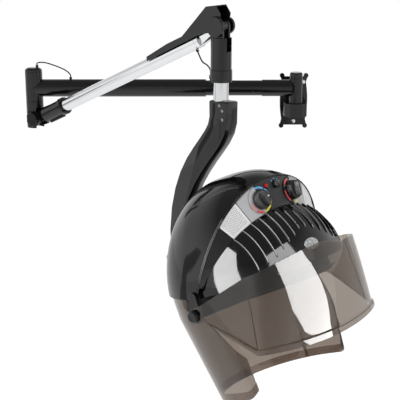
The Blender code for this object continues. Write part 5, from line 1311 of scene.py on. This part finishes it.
def card(name, rows, strength, shown_in=()):
    """Card seen by reflections alone; where pieces are named, the others see through it.

    Each row has the card's left and right edge as degrees round the hood and up.
    """
    bm = bmesh.new()
    strips = [[bm.verts.new(hood_middle + away(*end) * CARD_DISTANCE) for end in row] for row in rows]
    for row, after in zip(strips, strips[1:]):
        bm.faces.new((row[0], row[1], after[1], after[0]))
    made = piece_from(name, bm)
    paint, tree = blank(f"{name}_light")
    place = add(tree, "ShaderNodeTexCoord").outputs["Object"]
    cloth = add(tree, "ShaderNodeTexNoise",
                {"Vector": place, "Scale": per_mm(CLOTH_PATCH), "Detail": 1.0})
    level = add(tree, "ShaderNodeMapRange",
                {0: cloth.outputs["Fac"], 3: 0.9 * strength, 4: 1.1 * strength})
    surface = add(tree, "ShaderNodeEmission", {"Color": WHITE, "Strength": level.outputs[0]})
    if shown_in:
        clear = add(tree, "ShaderNodeBsdfTransparent")
        surface = add(tree, "ShaderNodeAddShader", {0: clear.outputs[0], 1: surface.outputs[0]})
        receivers = bpy.data.collections.new(f"{name}_receivers")
        for piece in shown_in:
            receivers.objects.link(piece)
        made.light_linking.receiver_collection = receivers
    add(tree, "ShaderNodeOutputMaterial", {"Surface": surface.outputs[0]})
    made.data.materials.append(paint)
    made.visible_camera = made.visible_diffuse = made.visible_transmission = made.visible_shadow = False


bonnet_pieces = [o for o in scene.objects if "knob_skin" in o.name
                 or o.name.startswith(("bonnet", "seam_bead", "front_badge"))]
card("right_strip", [((33, 26), (71, 24)), ((36, 21), (72.5, 20.5)), ((42, 17), (77, 16)),
                     ((46, 11), (80.5, 7.5)), ((50.5, 4.5), (84.5, -5)), ((69.5, -10.5), (87.5, -14)),
                     ((80, -18), (91, -20))], 12, [visor_cover])
card("top_strip", [((33, 47), (78, 46)), ((34, 34), (77, 32))], 7, bonnet_pieces)
card("left_softbox", [((-85.5, 48.5), (-46.5, 52)), ((-78.5, 18.5), (-30, 31)),
                      ((-59, -10.5), (-13.5, 9.5))], 13, bonnet_pieces)
card("left_flag", [((-99, 14), (-92, 14)), ((-101, -8), (-92, -8)), ((-118, -30), (-95, -30))], 0.3)
card("right_flag", [((93, 6), (128, 6)), ((91, -36), (128, -36))], 0.5)
print("pieces that show the top strip and the left softbox:", len(bonnet_pieces))

# %% [markdown]
# ## The floor
# The floor is matt paint. Where the camera, gloss and clear sheets see it, it has a glow of its own, so
# that it is as white as a studio's and still keeps the dryer's shadow. In gloss the glow is weaker,
# which leaves the black arm black.

# %% Floor
FLOOR_HEIGHT, FLOOR_HALF = -1.35, 9.0
FLOOR_GLOW, FLOOR_GLOW_MIRRORED = 0.58, 0.34


def seen_rays(tree):
    """The kinds of ray, and one for those from the camera, off gloss or through clear sheets."""
    ray = add(tree, "ShaderNodeLightPath").outputs
    seen = ray["Is Camera Ray"]
    for kind in ("Is Glossy Ray", "Is Transmission Ray"):
        seen = add(tree, "ShaderNodeMath", {0: seen, 1: ray[kind]}, operation="MAXIMUM").outputs[0]
    return ray, seen


floor_bm = bmesh.new()
bmesh.ops.create_grid(floor_bm, x_segments=8, y_segments=8, size=FLOOR_HALF)
floor = piece_from("floor", floor_bm, shift(0, 0, FLOOR_HEIGHT))
floor_paint, tree = blank("pale_floor_paint")
ray, seen = seen_rays(tree)
matt = add(tree, "ShaderNodeBsdfDiffuse", {"Color": linear("#E9E9E9")})
level = add(tree, "ShaderNodeMix",
            {0: ray["Is Glossy Ray"], 2: FLOOR_GLOW, 3: FLOOR_GLOW_MIRRORED}).outputs[0]
glow = add(tree, "ShaderNodeEmission", {"Color": WHITE, "Strength": level})
lit = add(tree, "ShaderNodeAddShader", {0: matt.outputs[0], 1: glow.outputs[0]})
mixed = add(tree, "ShaderNodeMixShader", {0: seen, 1: matt.outputs[0], 2: lit.outputs[0]})
add(tree, "ShaderNodeOutputMaterial", {"Surface": mixed.outputs[0]})
floor.data.materials.append(floor_paint)
print("floor at", FLOOR_HEIGHT, "m")

# %% [markdown]
# ## The room
# The room is white where the camera, the chrome and the clear sheets see it. Its reflection darkens
# towards the ceiling and the open side in front of the dryer, as a real studio does, so the black gloss
# keeps its depth.

# %% Room
ROOM_LIGHT = 0.55
CEILING_LEVEL, CEILING_FROM, CEILING_TO = 0.22, 0.15, 0.65
OPEN_LEVEL, OPEN_FROM, OPEN_TO = 0.6, 0.6, 0.95
OPEN_SIDE = (0.2, -0.98, 0)
room = bpy.data.worlds.new("white_room")
room.use_nodes = True
scene.world = room
tree = room.node_tree
tree.nodes.clear()
ray, seen = seen_rays(tree)
heading = add(tree, "ShaderNodeTexCoord").outputs["Generated"]
height = add(tree, "ShaderNodeSeparateXYZ", {0: heading}).outputs["Z"]
ceiling = add(tree, "ShaderNodeMapRange",
              {0: height, 1: CEILING_FROM, 2: CEILING_TO, 3: 1.0, 4: CEILING_LEVEL}).outputs[0]
facing = add(tree, "ShaderNodeVectorMath", {0: heading, 1: OPEN_SIDE}, operation="DOT_PRODUCT")
opening = add(tree, "ShaderNodeMapRange",
              {0: facing.outputs["Value"], 1: OPEN_FROM, 2: OPEN_TO, 3: 1.0, 4: OPEN_LEVEL}).outputs[0]
dimmed = add(tree, "ShaderNodeMath", {0: ceiling, 1: opening}, operation="MULTIPLY").outputs[0]
level = add(tree, "ShaderNodeMix", {0: ray["Is Glossy Ray"], 2: 1.0, 3: dimmed}).outputs[0]
white = add(tree, "ShaderNodeBackground", {"Color": WHITE, "Strength": level})
soft = add(tree, "ShaderNodeBackground", {"Color": WHITE, "Strength": ROOM_LIGHT})
mixed = add(tree, "ShaderNodeMixShader", {0: seen, 1: soft.outputs[0], 2: white.outputs[0]})
add(tree, "ShaderNodeOutputWorld", {"Surface": mixed.outputs[0]})
print("room:", room.name)
